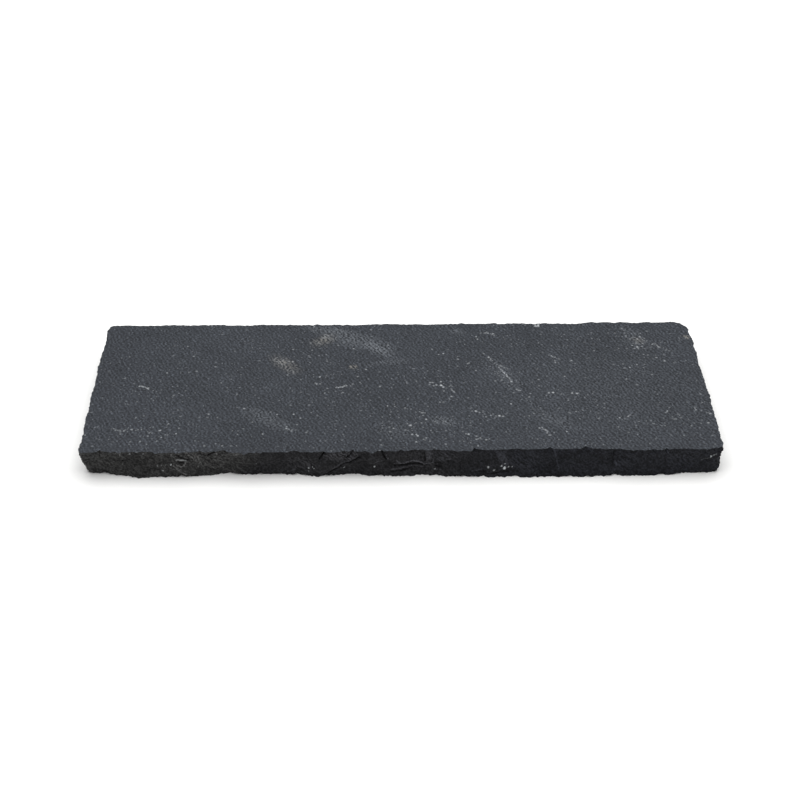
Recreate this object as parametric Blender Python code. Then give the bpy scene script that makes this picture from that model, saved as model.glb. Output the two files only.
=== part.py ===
"""Wall coping in black limestone: one natural slab whose four edges are hewn by hand.

The slab starts as a box. Its sides are scored into small fields and its top into larger ones. Every
point of a side then moves in or out: to a line along the top arris, a line along the bed arris, and
the round-bottomed chips that the chisel broke out between them. The bed it lies on stays flat.

Axes: X along the slab, Y across it with the long front edge at -Y, and Z up from the bed at Z = 0.
"""

import random
from collections import namedtuple

import bmesh
import bpy
import numpy as np
from mathutils import Matrix, Vector, noise

MM = 0.001

# The slab as ordered, between its nominal faces.
LENGTH = 900 * MM
WIDTH = 300 * MM
THICKNESS = 45 * MM

# How finely the box is scored.
SIDE_FIELD = 6.25 * MM
SIDE_COURSES = 8
TOP_FIELD = 25 * MM
BED_MARGIN = 50 * MM

# Plan radius of each corner, by the side of X and of Y that it is on.
CORNER_RADIUS = {
    (-1, -1): 5 * MM,
    (1, -1): 6 * MM,
    (-1, 1): 14 * MM,
    (1, 1): 21 * MM,
}

# Each side faces one way, and its lines say how far it stands proud of the nominal face, as
# (place along the side, proud) in millimetres. A chip is a round-bottomed hollow in the side.
# With a lean, the hollow runs up to the right by that much for each millimetre of height.
Side = namedtuple("Side", "out top_line bed_line top_sway bed_sway chips")
Chip = namedtuple("Chip", "along height half_width half_height depth lean", defaults=[0.0])

FRONT_TOP_LINE = (
    (-450, -0.5),
    (-345, -0.5),
    (-330, 2.0),
    (-285, 2.5),
    (-262, -1.0),
    (-240, -0.5),
    (-224, 4.0),
    (-205, 1.0),
    (-70, 0.5),
    (-42, 3.0),
    (-20, 0.0),
    (95, 1.0),
    (108, -1.5),
    (190, -1.0),
    (285, -1.5),
    (335, 2.0),
    (450, 1.5),
)
FRONT_BED_LINE = (
    (-450, -10.0),
    (-412, -8.0),
    (-370, 1.5),
    (-290, 0.5),
    (-245, -6.5),
    (-150, -3.5),
    (-118, 1.5),
    (-65, 1.5),
    (-42, 6.5),
    (20, 7.0),
    (50, 4.0),
    (85, 5.0),
    (185, 7.0),
    (212, 5.5),
    (255, 7.5),
    (340, 5.5),
    (400, 0.5),
    (450, -1.0),
)

# The chisel's chips in the front, from the left end to the right one. The first rows broke away
# from the middle of the face, and the last row nicked the top arris.
FRONT_CHIPS = (
    Chip(-392, 26, 40, 17, 2.4),
    Chip(-352, 14, 30, 18, 2.2),
    Chip(-303, 34, 24, 17, 3.2),
    Chip(-262, 18, 24, 20, 2.4),
    Chip(-212, 22, 40, 19, 3.2),
    Chip(-150, 26, 34, 16, 2.4),
    Chip(-24, 13, 68, 23, 5.0, lean=1.5),
    Chip(30, 12, 46, 15, 4.6),
    Chip(28, 36, 16, 11, 2.4),
    Chip(92, 24, 34, 19, 3.0),
    Chip(163, 34, 26, 14, 2.6),
    Chip(212, 18, 52, 18, 2.2),
    Chip(300, 22, 48, 18, 2.6),
    Chip(392, 24, 40, 20, 2.2),
    Chip(-422, 46, 11, 9, 4.0),
    Chip(-250, 46, 12, 8, 3.4),
    Chip(-112, 44, 7, 12, 3.4),
    Chip(-74, 43, 9, 14, 3.6),
    Chip(2, 45, 9, 7, 3.0),
    Chip(106, 45, 9, 8, 3.2),
    Chip(151, 46, 9, 7, 2.6),
    Chip(209, 47, 14, 9, 3.0),
    Chip(261, 47, 13, 11, 4.4),
    Chip(381, 46, 9, 8, 2.8),
)

# The hidden sides are dressed the same way. Their chips fall in two rows, with no pattern along them.
LEFT_TOP_LINE = ((-150, -2.0), (-139, -1.0), (-125, -1.8), (-100, 0.0), (20, 1.2), (150, 0.0))
LEFT_BED_LINE = ((-150, -8.5), (-118, -5.0), (-84, 0.0), (20, 2.0), (150, -1.0))
RIGHT_TOP_LINE = ((-150, 0.0), (-100, 2.0), (-45, 3.0), (-8, 2.5), (30, -0.5), (85, 2.0), (150, 0.0))
RIGHT_BED_LINE = ((-150, 0.5), (-120, 1.0), (10, 3.0), (150, 0.5))
BACK_TOP_LINE = ((-450, 2.8), (-330, 2.0), (-200, 0.6), (450, 1.6))
BACK_BED_LINE = ((-450, -2.0), (-300, 3.0), (-120, -2.0), (60, 4.0), (230, 0.0), (450, 3.0))
CHIP_SPACING = 17
CHIP_HALF_WIDTH = (10, 27)
CHIP_HALF_HEIGHT = (8, 20)
CHIP_DEPTH = (1.5, 4.5)
CHIP_LEAN = (-1.0, 1.0)
SHALLOW_AT_TOP = 0.45

# Roughness of the broken faces, wander of the arrises, and the faint swell of the top, in millimetres.
GRAIN_SIZE = 17
GRAIN_DEPTH = 1.3
SWAY_LENGTH = 38
TOP_SWELL_LENGTH = 90
TOP_SWELL = 0.7
ARRIS_WEAR = 0.9

# A side's lines and chips draw the stone beside them along, up to this far in.
PULL = 40 * MM

LIMESTONE = (0.018, 0.019, 0.021, 1.0)
LIMESTONE_ROUGHNESS = 0.8


def clear_scene():
    for found in list(bpy.data.objects):
        bpy.data.objects.remove(found, do_unlink=True)


def scattered_chips(seed, half_length):
    """Two uneven rows of chips along a side, one from each arris."""
    draw = random.Random(seed)
    chips = []
    for height in (0.22, 0.72):
        along = CHIP_SPACING - half_length
        while along < half_length:
            depth = draw.uniform(*CHIP_DEPTH)
            level = (height + draw.uniform(-0.2, 0.25)) * THICKNESS / MM
            if level > 0.7 * THICKNESS / MM:
                depth *= SHALLOW_AT_TOP
            width = draw.uniform(*CHIP_HALF_WIDTH)
            tall = draw.uniform(*CHIP_HALF_HEIGHT)
            chips.append(Chip(along, level, width, tall, depth, draw.uniform(*CHIP_LEAN)))
            along += draw.uniform(0.6, 1.6) * CHIP_SPACING
    return tuple(chips)


SIDES = {
    "front": Side((0, -1), FRONT_TOP_LINE, FRONT_BED_LINE, 0.8, 1.2, FRONT_CHIPS),
    "back": Side((0, 1), BACK_TOP_LINE, BACK_BED_LINE, 1.6, 4.0, scattered_chips(11, 450)),
    "left": Side((-1, 0), LEFT_TOP_LINE, LEFT_BED_LINE, 1.8, 3.0, scattered_chips(41, 150)),
    "right": Side((1, 0), RIGHT_TOP_LINE, RIGHT_BED_LINE, 1.8, 3.0, scattered_chips(37, 150)),
}


def score(bm, wanted, axis, stations):
    """Cuts the faces that wanted() picks by planes across an axis."""
    across = Vector([float(axis == i) for i in range(3)])
    for station in stations:
        faces = [face for face in bm.faces if wanted(face)]
        edges = {edge for face in faces for edge in face.edges}
        corners = {vert for face in faces for vert in face.verts}
        cut = faces + list(edges) + list(corners)
        bmesh.ops.bisect_plane(
            bm, geom=cut, dist=1e-6, plane_co=across * station, plane_no=across
        )


def stations_between(half, field):
    """Evenly spaced places between -half and half, without the ends."""
    count = round(2 * half / field)
    return [-half + 2 * half * i / count for i in range(1, count)]


def scored_box():
    """The slab's box, with fine fields on its sides, larger ones on top and a plain bed."""
    bm = bmesh.new()
    size = Matrix.Diagonal((LENGTH, WIDTH, THICKNESS, 1))
    lift = Matrix.Translation((0, 0, THICKNESS / 2))
    bmesh.ops.create_cube(bm, size=1, matrix=lift @ size)
    half_length, half_width = LENGTH / 2, WIDTH / 2

    def is_long_side(face):
        return abs(face.normal.y) > 0.9

    def is_end(face):
        return abs(face.normal.x) > 0.9

    def is_side(face):
        return abs(face.normal.z) < 0.1

    def is_top(face):
        return face.normal.z > 0.9

    def is_bed(face):
        return face.normal.z < -0.9

    courses = [THICKNESS * i / SIDE_COURSES for i in range(1, SIDE_COURSES)]
    score(bm, is_side, 2, courses)
    score(bm, is_long_side, 0, stations_between(half_length, SIDE_FIELD))
    score(bm, is_end, 1, stations_between(half_width, SIDE_FIELD))
    score(bm, is_top, 0, stations_between(half_length, TOP_FIELD))
    score(bm, is_top, 1, stations_between(half_width, TOP_FIELD))
    score(bm, is_bed, 0, (BED_MARGIN - half_length, half_length - BED_MARGIN))
    score(bm, is_bed, 1, (BED_MARGIN - half_width, half_width - BED_MARGIN))
    return bm


def loosened(points, on_side):
    """Slides the points of the sides within their faces, so that no rows of fields show."""
    draw = random.Random(5)
    slack = 0.28 * SIDE_FIELD
    course = THICKNESS / SIDE_COURSES
    room = 25 * MM
    for i in np.flatnonzero(on_side):
        x, y, z = points[i]
        if abs(abs(y) - WIDTH / 2) < 1e-6 and abs(x) < LENGTH / 2 - room:
            points[i, 0] += draw.uniform(-slack, slack)
        elif abs(abs(x) - LENGTH / 2) < 1e-6 and abs(y) < WIDTH / 2 - room:
            points[i, 1] += draw.uniform(-slack, slack)
        if 0 < z < THICKNESS - 1e-6:
            points[i, 2] += draw.uniform(-0.28, 0.28) * course


def round_corners(points):
    """Moves the points of the sides to the outline with round corners."""
    for (side_x, side_y), radius in CORNER_RADIUS.items():
        here = (np.sign(points[:, 0] + 1e-9) == side_x) & (np.sign(points[:, 1] + 1e-9) == side_y)
        reach = np.array([LENGTH / 2 - radius, WIDTH / 2 - radius])
        core = np.clip(points[here, :2], -reach, reach)
        away = points[here, :2] - core
        away /= np.linalg.norm(away, axis=1)[:, None]
        points[here, :2] = core + radius * away


def wander(points, length, seed):
    """Smooth noise from about -1 to 1 at each point, whose bumps are about this long in millimetres."""
    shift = Vector((seed * 7.3, seed * 3.1, seed * 5.7))
    scale = 1 / (length * MM)
    return np.array([noise.noise(Vector(p) * scale + shift) for p in points])


def line_at(line, along):
    places, values = zip(*line)
    return np.interp(along, places, values)


def chip_depth(chips, along, height):
    """Each point's depth in the deepest chip over it."""
    deepest = np.zeros(len(along))
    for chip in chips:
        above = height - chip.height
        off_middle = (along - chip.along - chip.lean * above) / chip.half_width
        off_level = above / chip.half_height
        deepest = np.maximum(deepest, chip.depth * (1 - off_middle**2 - off_level**2))
    return deepest


def proud_of_nominal(side, points):
    """How far a side stands proud of its nominal face, at the place and height of each point."""
    along = points[:, 1 if side.out[0] else 0] / MM
    height = points[:, 2] / MM
    share_up = points[:, 2] / THICKNESS
    in_plan = points * (1, 1, 0)
    top = line_at(side.top_line, along) + side.top_sway * wander(in_plan, SWAY_LENGTH, 1)
    bed = line_at(side.bed_line, along) + side.bed_sway * wander(in_plan, SWAY_LENGTH, 2)
    face = bed + (top - bed) * share_up
    grain = GRAIN_DEPTH * wander(points, GRAIN_SIZE, 3)
    at_arris = 1 - 4 * share_up * (1 - share_up)
    return face + grain * (1 - 0.65 * at_arris) - chip_depth(side.chips, along, height)


def draw_to_lines(points):
    """Moves points with the nearest sides, most at a side's face and not at all past PULL from it."""
    moved = points.copy()
    half = np.array([LENGTH / 2, WIDTH / 2])
    for side in SIDES.values():
        axis = 0 if side.out[0] else 1
        outward = side.out[axis]
        inside = half[axis] - outward * points[:, axis]
        share = np.clip(1 - inside / PULL, 0, 1)
        share = share**2 * (3 - 2 * share)
        moved[:, axis] += outward * share * proud_of_nominal(side, points) * MM
    points[:] = moved


def hew(points, on_side):
    """Gives the sides their corners, lines, chips and grain, and wears the top arris."""
    loosened(points, on_side)
    sides = points[on_side]
    round_corners(sides)
    at_top = sides[:, 2] > THICKNESS - 1e-6
    wear = 0.5 + 0.5 * wander(sides[at_top], SWAY_LENGTH, 4)
    draw_to_lines(sides)
    sides[at_top, 2] -= ARRIS_WEAR * MM * wear
    points[on_side] = sides


def swell_top(points, on_side):
    """Gives the inside of the top the faint swells of a natural cleft."""
    inside = (points[:, 2] > THICKNESS - 1e-6) & ~on_side
    swell = wander(points[inside], TOP_SWELL_LENGTH, 6)
    points[inside, 2] += TOP_SWELL * MM * (swell - 0.5)


def settle(points):
    """Stands the slab on Z = 0, with the middle of its box over the origin."""
    low, high = points.min(0), points.max(0)
    points[:, :2] -= (low[:2] + high[:2]) / 2
    points[:, 2] -= low[2]


def limestone():
    material = bpy.data.materials.new("black_limestone")
    material.use_nodes = True
    shader = material.node_tree.nodes["Principled BSDF"]
    shader.inputs["Base Color"].default_value = LIMESTONE
    shader.inputs["Roughness"].default_value = LIMESTONE_ROUGHNESS
    shader.inputs["Metallic"].default_value = 0.0
    return material


def coping_slab(collection):
    bm = scored_box()
    points = np.array([vert.co for vert in bm.verts])
    at_end = np.abs(points[:, 0]) > LENGTH / 2 - 1e-6
    at_long_side = np.abs(points[:, 1]) > WIDTH / 2 - 1e-6
    on_side = at_end | at_long_side
    hew(points, on_side)
    swell_top(points, on_side)
    settle(points)
    for vert, place in zip(bm.verts, points):
        vert.co = place
    bmesh.ops.triangulate(bm, faces=bm.faces[:], quad_method="BEAUTY", ngon_method="BEAUTY")
    mesh = bpy.data.meshes.new("coping_slab")
    bm.to_mesh(mesh)
    bm.free()
    mesh.materials.append(limestone())
    slab = bpy.data.objects.new("coping_slab", mesh)
    collection.objects.link(slab)
    return slab


def main():
    clear_scene()
    collection = bpy.data.collections.new("limestone_wall_coping")
    bpy.context.scene.collection.children.link(collection)
    slab = coping_slab(collection)
    print("coping_slab:", len(slab.data.polygons), "triangles")


main()
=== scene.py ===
# %% [markdown]
# # A wall coping in black limestone
#
# A coping is the slab that caps a garden wall and keeps rain out of it. This one is a single stone: flat
# on top and underneath, with four edges that a mason has struck back by hand with a wide chisel. It could
# be sculpted by hand in Blender, but then nobody could see why a ridge is where it is. Here the stone is
# built the way it was made. A box is hewn to lines, chips are broken out of it, and each surface gets the
# finish that its tool left.
#
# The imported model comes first. It is the stone's size and place, and everything below is fitted to it.

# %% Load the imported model
import math
import random
from collections import namedtuple

import bpy
import numpy as np
from mathutils import Matrix, Vector, geometry, noise


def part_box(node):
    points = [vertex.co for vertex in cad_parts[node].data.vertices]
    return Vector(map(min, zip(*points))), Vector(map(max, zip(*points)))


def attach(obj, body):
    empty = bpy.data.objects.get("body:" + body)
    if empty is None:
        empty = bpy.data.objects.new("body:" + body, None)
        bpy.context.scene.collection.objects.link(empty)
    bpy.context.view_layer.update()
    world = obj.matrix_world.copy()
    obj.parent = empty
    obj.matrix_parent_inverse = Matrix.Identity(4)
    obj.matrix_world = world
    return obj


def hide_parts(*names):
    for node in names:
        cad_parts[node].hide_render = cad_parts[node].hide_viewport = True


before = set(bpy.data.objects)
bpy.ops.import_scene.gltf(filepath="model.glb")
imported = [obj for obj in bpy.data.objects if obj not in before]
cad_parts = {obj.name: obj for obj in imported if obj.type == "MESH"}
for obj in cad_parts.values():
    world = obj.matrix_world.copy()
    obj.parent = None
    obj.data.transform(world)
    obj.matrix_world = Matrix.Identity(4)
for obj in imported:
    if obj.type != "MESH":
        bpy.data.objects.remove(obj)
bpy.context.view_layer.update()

MM = 0.001
slab_low, slab_high = (np.array(corner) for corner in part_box("coping_slab"))
print("the packed slab, in mm:", np.round((slab_high - slab_low) / MM, 1))

# %% [markdown]
# ## The lines that the mason worked to
#
# The slab was ordered 900 x 300 x 45 mm. Each edge has a line along its top arris and another along its
# bed arris, and a real edge wanders a few millimetres in and out of the nominal face along both. A line
# is a list of (place along the edge, how far it stands proud), in millimetres. That keeps the wander
# readable, where a pushed-about mesh would not.
#
# A sway adds a slow wander to a line: a little where the line has many points, and more along the bed
# arris of the back and the ends, where it has few.
#
# A chip is what one blow breaks out: a shallow hollow with a round bottom. The front's chips are placed
# one by one. The other three edges carry two uneven rows of them, drawn from a seeded generator, so that
# every run gives the same stone, and each end has one more at its front corner. A nick is a smaller break
# in the top arris that comes to a point, where a corner of the chisel landed. It reaches further on the
# side that the flake flew off to.

# %% Nominal size and the lines
LENGTH = 900 * MM
WIDTH = 300 * MM
THICKNESS = 45 * MM

CORNER_RADIUS = {
    (-1, -1): 5 * MM,
    (1, -1): 6 * MM,
    (-1, 1): 14 * MM,
    (1, 1): 21 * MM,
}

FRONT_TOP_LINE = (
    (-450, -2.5), (-430, -2), (-397, -3.5), (-392, -0.5), (-388, -3), (-374, -3), (-369, -1.5), (-362, -3),
    (-346, -2.5), (-342, 1), (-337, -0.5), (-318, -0.5), (-313, 2), (-303, 1), (-288, -1.5), (-270, -1.5),
    (-258, -3.5), (-247, -5), (-234, 0.5), (-226, 1), (-218, 5), (-211, 0.5), (-202, 0), (-197, 2.5),
    (-190, 0), (-140, -0.5), (-88, 1), (-78, -2), (-72, 0), (-50, -1.5), (-40, 4.5), (-33, -1), (-6, 0),
    (6, -0.5), (14, -2.5), (36, -2), (45, -3.5), (64, -1.5), (80, 1), (98, 0), (114, -1.5), (127, -1.5),
    (131, -3), (148, -2), (158, -3), (170, -2.5), (176, -1), (190, -3), (230, -1.5), (250, -3.5), (274, -2.5),
    (288, -1), (296, -2), (320, 0), (325, 2), (366, 1.5), (378, 0), (395, -1.5), (404, 0.5), (432, 0.5),
    (440, -2), (450, -3),
)
FRONT_BED_LINE = (
    (-450, -10.5), (-415, -9), (-408, -5.5), (-382, -2), (-374, 2), (-342, 2), (-337, 0.5), (-332, 1.5),
    (-320, -0.5), (-314, 0.5), (-310, -1), (-300, 1), (-290, -1), (-264, -3.5), (-250, -6), (-242, -8),
    (-234, -5), (-204, -3), (-198, -5), (-150, -2.5), (-145, -5), (-136, -1), (-116, 2.5), (-110, 0.5),
    (-60, -1), (-44, 4.5), (-2, 4.5), (24, 2), (42, 3), (49, 1), (60, 3.5), (106, 5), (116, 3), (122, 7),
    (144, 6), (164, 5), (174, 7), (200, 6.5), (209, 4.5), (218, 7), (266, 7), (294, 5.5), (301, 3), (309, 6),
    (352, 5), (365, 4.5), (370, 2), (376, 5), (390, 3), (397, 0), (430, 0), (450, -2.5),
)
LEFT_TOP_LINE = (
    (-150, -1), (-136, -1), (-118, -3), (-104, -1), (-88, -0.5), (-76, 1.5), (-54, 0), (-14, 1.5),
    (10, -0.5), (46, 1.5), (68, 0), (80, 0.5), (112, -1.5), (136, 0), (150, 2),
)
LEFT_BED_LINE = ((-150, -3.5), (-118, -4.5), (-84, 0.0), (20, 2.0), (150, -1.0))
RIGHT_TOP_LINE = (
    (-150, 0), (-126, 2), (-112, 1.5), (-100, 2.5), (-88, 2.5), (-72, 1), (-54, 1.5), (-30, 3), (-14, 1.5),
    (8, 1.5), (32, 0), (62, 1), (102, 1), (122, -1), (136, 0), (150, 0),
)
RIGHT_BED_LINE = ((-150, 2.0), (-120, 1.5), (10, 3.0), (150, 0.5))
BACK_TOP_LINE = (
    (-450, 3.5), (-430, 4), (-400, 2.5), (-376, 2.5), (-352, 4), (-338, 3), (-322, 3.5), (-304, 3), (-272, 4),
    (-258, 2.5), (-220, 1.5), (-212, 3), (-204, 1.5), (-190, 2.5), (-168, 1.5), (-125, 1.5), (-66, 0.5),
    (-40, 2), (0, 2.5), (26, 1), (72, 0.5), (100, 2), (124, 1), (148, 3), (157, 1.5), (168, 3.5), (214, 1),
    (236, 2), (268, 0), (300, 3.5), (332, 2), (346, 3), (368, 0.5), (388, 3), (426, 2.5), (450, 1.5),
)
BACK_BED_LINE = ((-450, -2.0), (-300, 3.0), (-120, -2.0), (60, 4.0), (230, 0.0), (450, 3.0))

print("the front's top line has", len(FRONT_TOP_LINE), "points, and its bed line", len(FRONT_BED_LINE))

# %% Chips and nicks
Chip = namedtuple("Chip", "along height half_width half_height depth lean", defaults=[0.0])
FRONT_CHIPS = (
    Chip(-392, 26, 40, 17, 2.4),
    Chip(-352, 14, 30, 18, 2.2),
    Chip(-303, 34, 24, 17, 3.2),
    Chip(-262, 18, 24, 20, 2.4),
    Chip(-212, 22, 40, 19, 3.2),
    Chip(-150, 26, 34, 16, 2.4),
    Chip(-24, 13, 68, 23, 5.0, lean=1.5),
    Chip(30, 12, 46, 15, 4.6),
    Chip(28, 36, 16, 11, 2.4),
    Chip(92, 24, 34, 19, 3.0),
    Chip(163, 34, 26, 14, 2.6),
    Chip(212, 18, 52, 18, 2.2),
    Chip(300, 22, 48, 18, 2.6),
    Chip(392, 24, 40, 20, 2.2),
)

Nick = namedtuple("Nick", "along left right tall depth")
FRONT_NICKS = (
    Nick(-420, 5, 9, 9, 5.0),
    Nick(-280, 6, 7, 6, 2.3),
    Nick(-246, 4, 4, 7, 1.2),
    Nick(-192, 2, 3, 6, 2.4),
    Nick(-150, 7, 6, 7, 3.0),
    Nick(-109, 4, 5, 14, 1.0),
    Nick(-68, 5, 4, 12, 3.0),
    Nick(0, 4, 4, 7, 3.6),
    Nick(102, 3, 11, 8, 5.6),
    Nick(208, 5, 8, 9, 3.6),
    Nick(258, 6, 9, 11, 4.6),
    Nick(352, 5, 5, 7, 2.8),
    Nick(370, 4, 3, 7, 4.2),
)
LEFT_CHIPS = (Chip(-150, 0, 16, 22, 4.5),)
RIGHT_CHIPS = (Chip(-150, 21, 20, 9, 4.2),)
print(len(FRONT_CHIPS), "chips and", len(FRONT_NICKS), "nicks are placed on the front")

# %% Chips of the other edges, and the four sides
CHIP_ROWS = (0.22, 0.72)
ROW_SPREAD = (-0.2, 0.25)
CHIP_SPACING = 17
SPACING_SPREAD = (0.6, 1.6)
CHIP_HALF_WIDTH = (10, 27)
CHIP_HALF_HEIGHT = (8, 20)
CHIP_DEPTH = (1.5, 4.5)
CHIP_LEAN = (-1.0, 1.0)
TOP_CHIPS_FROM = 0.7
SHALLOW_AT_TOP = 0.45


def scattered_chips(seed, half_length):
    """Two uneven rows of chips along an edge, one from each arris."""
    draw = random.Random(seed)
    chips = []
    for height in CHIP_ROWS:
        along = CHIP_SPACING - half_length
        while along < half_length:
            depth = draw.uniform(*CHIP_DEPTH)
            level = (height + draw.uniform(*ROW_SPREAD)) * THICKNESS / MM
            if level > TOP_CHIPS_FROM * THICKNESS / MM:
                depth *= SHALLOW_AT_TOP
            width = draw.uniform(*CHIP_HALF_WIDTH)
            tall = draw.uniform(*CHIP_HALF_HEIGHT)
            chips.append(Chip(along, level, width, tall, depth, draw.uniform(*CHIP_LEAN)))
            along += draw.uniform(*SPACING_SPREAD) * CHIP_SPACING
    return tuple(chips)


Side = namedtuple("Side", "out top_line bed_line top_sway bed_sway chips nicks", defaults=[()])
SIDES = {
    "front": Side((0, -1), FRONT_TOP_LINE, FRONT_BED_LINE, 0.2, 0.2, FRONT_CHIPS, FRONT_NICKS),
    "back": Side((0, 1), BACK_TOP_LINE, BACK_BED_LINE, 0.2, 4.0, scattered_chips(11, 450)),
    "left": Side((-1, 0), LEFT_TOP_LINE, LEFT_BED_LINE, 0.3, 3.0, scattered_chips(41, 150) + LEFT_CHIPS),
    "right": Side((1, 0), RIGHT_TOP_LINE, RIGHT_BED_LINE, 0.3, 3.0, scattered_chips(37, 150) + RIGHT_CHIPS),
}
print({name: len(side.chips) for name, side in SIDES.items()}, "chips")

# %% [markdown]
# ## What a blow leaves on the front
#
# On the front the break shows more than hollows. Thin ridges curl where the crack slowed down, slits open
# where a flake stayed on, and a few grains of white calcite sit in it. They could be painted on, but paint
# has no shadow, so they are raised or sunk in the mesh and tinted by the finish. The slits are also
# painted towards near black, which is painted shade in them. A stroke is a path of (along, height)
# points in millimetres. Its rise is below zero for a slit, and pale is how much crushed, lighter stone lies
# on it.
#
# A patch is a soft oval. Facets are patches that came off smooth and pale, bruises are scratched pale in
# streaks, and shades are patches of painted shade, darkened towards near black. Strokes, patches and
# crystals are all torn a little at the rim by noise before they are drawn, because nothing in a break has a
# clean outline.

# %% Ridges and slits of the front
Stroke = namedtuple("Stroke", "path rise half_width pale")

SWIRLS = (
    Stroke(((-320, 42), (-317, 36), (-313, 32)), 1.2, 1.5, 0.7),
    Stroke(((-314, 32), (-309, 30), (-300, 29)), 1.2, 1.5, 1.4),
    Stroke(((-311, 44), (-305, 38), (-299, 33)), 0.9, 1.4, 0.6),
    Stroke(((-299, 28), (-303, 22), (-308, 18), (-314, 23)), 0.8, 1.4, 1.0),
    Stroke(((-297, 39), (-292, 36), (-289, 30)), 1.1, 1.5, 0.95),
    Stroke(((-300, 44), (-293, 42), (-288, 37), (-285, 28)), 1.0, 1.5, 0.6),
    Stroke(((-291, 45), (-283, 37), (-281, 26), (-285, 17)), 0.9, 1.5, 0.6),
    Stroke(((-391, 43), (-388, 36), (-388, 25), (-392, 19)), 0.8, 1.6, 0.6),
    Stroke(((-318, 21), (-313, 15), (-308, 9), (-301, 5)), 0.9, 1.7, 0.85),
    Stroke(((-273, 33), (-265, 36), (-257, 34), (-251, 28)), 0.7, 1.4, 0.5),
    Stroke(((-250, 36), (-242, 39), (-233, 40), (-225, 44)), 0.7, 1.4, 0.5),
    Stroke(((-275, 24), (-269, 16), (-261, 12), (-252, 14)), 0.6, 1.4, 0.35),
    Stroke(((-262, 28), (-254, 24), (-247, 20)), 0.6, 1.3, 0.4),
    Stroke(((-258, 45), (-256, 39)), 0.8, 1.4, 1.0),
)
RIDGES = (
    Stroke(((-57, 36), (-66, 32), (-75, 28), (-88, 20), (-99, 12), (-108, 6), (-117, 1)), 1.0, 2.2, 0.35),
    Stroke(((-64, 45), (-60, 36)), 0.9, 1.3, 0.8),
    Stroke(((-21, 39), (-18, 30)), 0.8, 1.3, 0.9),
    Stroke(((-39, 25), (-30, 27), (-19, 27)), 0.8, 1.5, 0.55),
    Stroke(((-144, 26), (-137, 18)), 0.7, 1.4, 0.55),
    Stroke(((-159, 7), (-149, 11)), 0.7, 1.4, 0.55),
    Stroke(((-10, 21), (3, 22), (12, 25)), 1.2, 1.6, 0.8),
    Stroke(((10, 24), (15, 25), (21, 25), (25, 23), (28, 21)), 1.4, 2.0, 1.4),
    Stroke(((28, 22), (33, 18), (37, 21), (41, 20), (46, 23)), 1.2, 1.5, 1.1),
    Stroke(((-7, 28), (-5, 24), (0, 22)), 0.9, 1.4, 0.9),
    Stroke(((-13, 11), (-2, 12), (7, 15), (17, 17), (30, 13)), 1.1, 1.7, 0.7),
    Stroke(((45, 27), (45, 13)), 0.9, 1.4, 0.8),
    Stroke(((42, 13), (48, 9), (56, 9)), 0.8, 1.5, 0.7),
    Stroke(((36, 27), (41, 22), (43, 16)), 0.8, 1.3, 0.7),
    Stroke(((100, 10), (108, 12), (114, 13)), 0.7, 1.4, 0.5),
    Stroke(((58, 41), (64, 35), (69, 29)), 0.7, 1.3, 0.7),
    Stroke(((64, 37), (69, 26)), 0.6, 1.3, 0.6),
    Stroke(((213, 44), (216, 36), (218, 28), (220, 19), (222, 13)), 1.1, 1.7, 0.8),
    Stroke(((301, 22), (302, 16)), 0.7, 1.6, 0.8),
    Stroke(((370, 44), (373, 37)), 0.8, 1.4, 0.8),
    Stroke(((396, 29), (399, 18)), 0.6, 1.4, 0.5),
)
CALCITE_VEINS = (
    Stroke(((422, 23), (431, 27), (441, 35)), 0.2, 1.0, 0.12),
    Stroke(((-313, 32), (-309, 30), (-300, 29)), 0.2, 1.1, 0.45),
)
SLITS = (
    Stroke(((-312, 41), (-309, 35), (-302, 32), (-296, 30)), -1.6, 1.6, 0.0),
    Stroke(((-310, 25), (-304, 26)), -2.0, 1.9, 0.0),
    Stroke(((-269, 39), (-261, 43), (-256, 43)), -2.2, 1.7, 0.0),
    Stroke(((-390, 27), (-386, 27)), -1.6, 2.0, 0.0),
    Stroke(((-106, 43), (-111, 37), (-114, 32)), -3.0, 1.6, 0.0),
    Stroke(((-66, 45), (-72, 38), (-76, 33)), -2.6, 1.5, 0.0),
    Stroke(((-58, 34), (-67, 29), (-76, 25)), -2.6, 2.1, 0.0),
    Stroke(((-76, 25), (-88, 16), (-98, 9), (-107, 3)), -1.8, 1.9, 0.0),
    Stroke(((-27, 44), (-24, 37), (-20, 29)), -3.0, 1.5, 0.0),
    Stroke(((33, 42), (34, 25)), -1.8, 1.3, 0.0),
    Stroke(((297, 42), (298, 16)), -1.2, 1.4, 0.0),
    Stroke(((-10, 17), (4, 18), (22, 20), (30, 18)), -2.2, 1.9, 0.0),
    Stroke(((-14, 7), (0, 8), (14, 12)), -1.8, 1.8, 0.0),
    Stroke(((49, 22), (56, 22)), -2.0, 1.8, 0.0),
    Stroke(((49, 15), (57, 13)), -2.0, 1.9, 0.0),
    Stroke(((110, 9), (128, 6), (150, 9)), -1.4, 2.0, 0.0),
)


def on_stroke(stroke, along, height):
    """1 on the stroke's path, falling to 0 half its width away."""
    here = np.stack([along, height], axis=1)
    nearest = np.full(len(here), np.inf)
    for start, end in zip(np.array(stroke.path[:-1], float), np.array(stroke.path[1:], float)):
        step = end - start
        share = np.clip((here - start) @ step / (step @ step), 0, 1)
        nearest = np.minimum(nearest, np.linalg.norm(here - start - share[:, None] * step, axis=1))
    return np.clip(1 - (nearest / stroke.half_width) ** 2, 0, 1) ** 2


print(len(SWIRLS + RIDGES), "ridges,", len(CALCITE_VEINS), "veins and", len(SLITS), "slits on the front")

# %% Patches and crystals of the front
Patch = namedtuple("Patch", "along height half_width half_height amount lean", defaults=[0.0])
Crystal = namedtuple("Crystal", "along height radius pale", defaults=[1.0])

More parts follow.
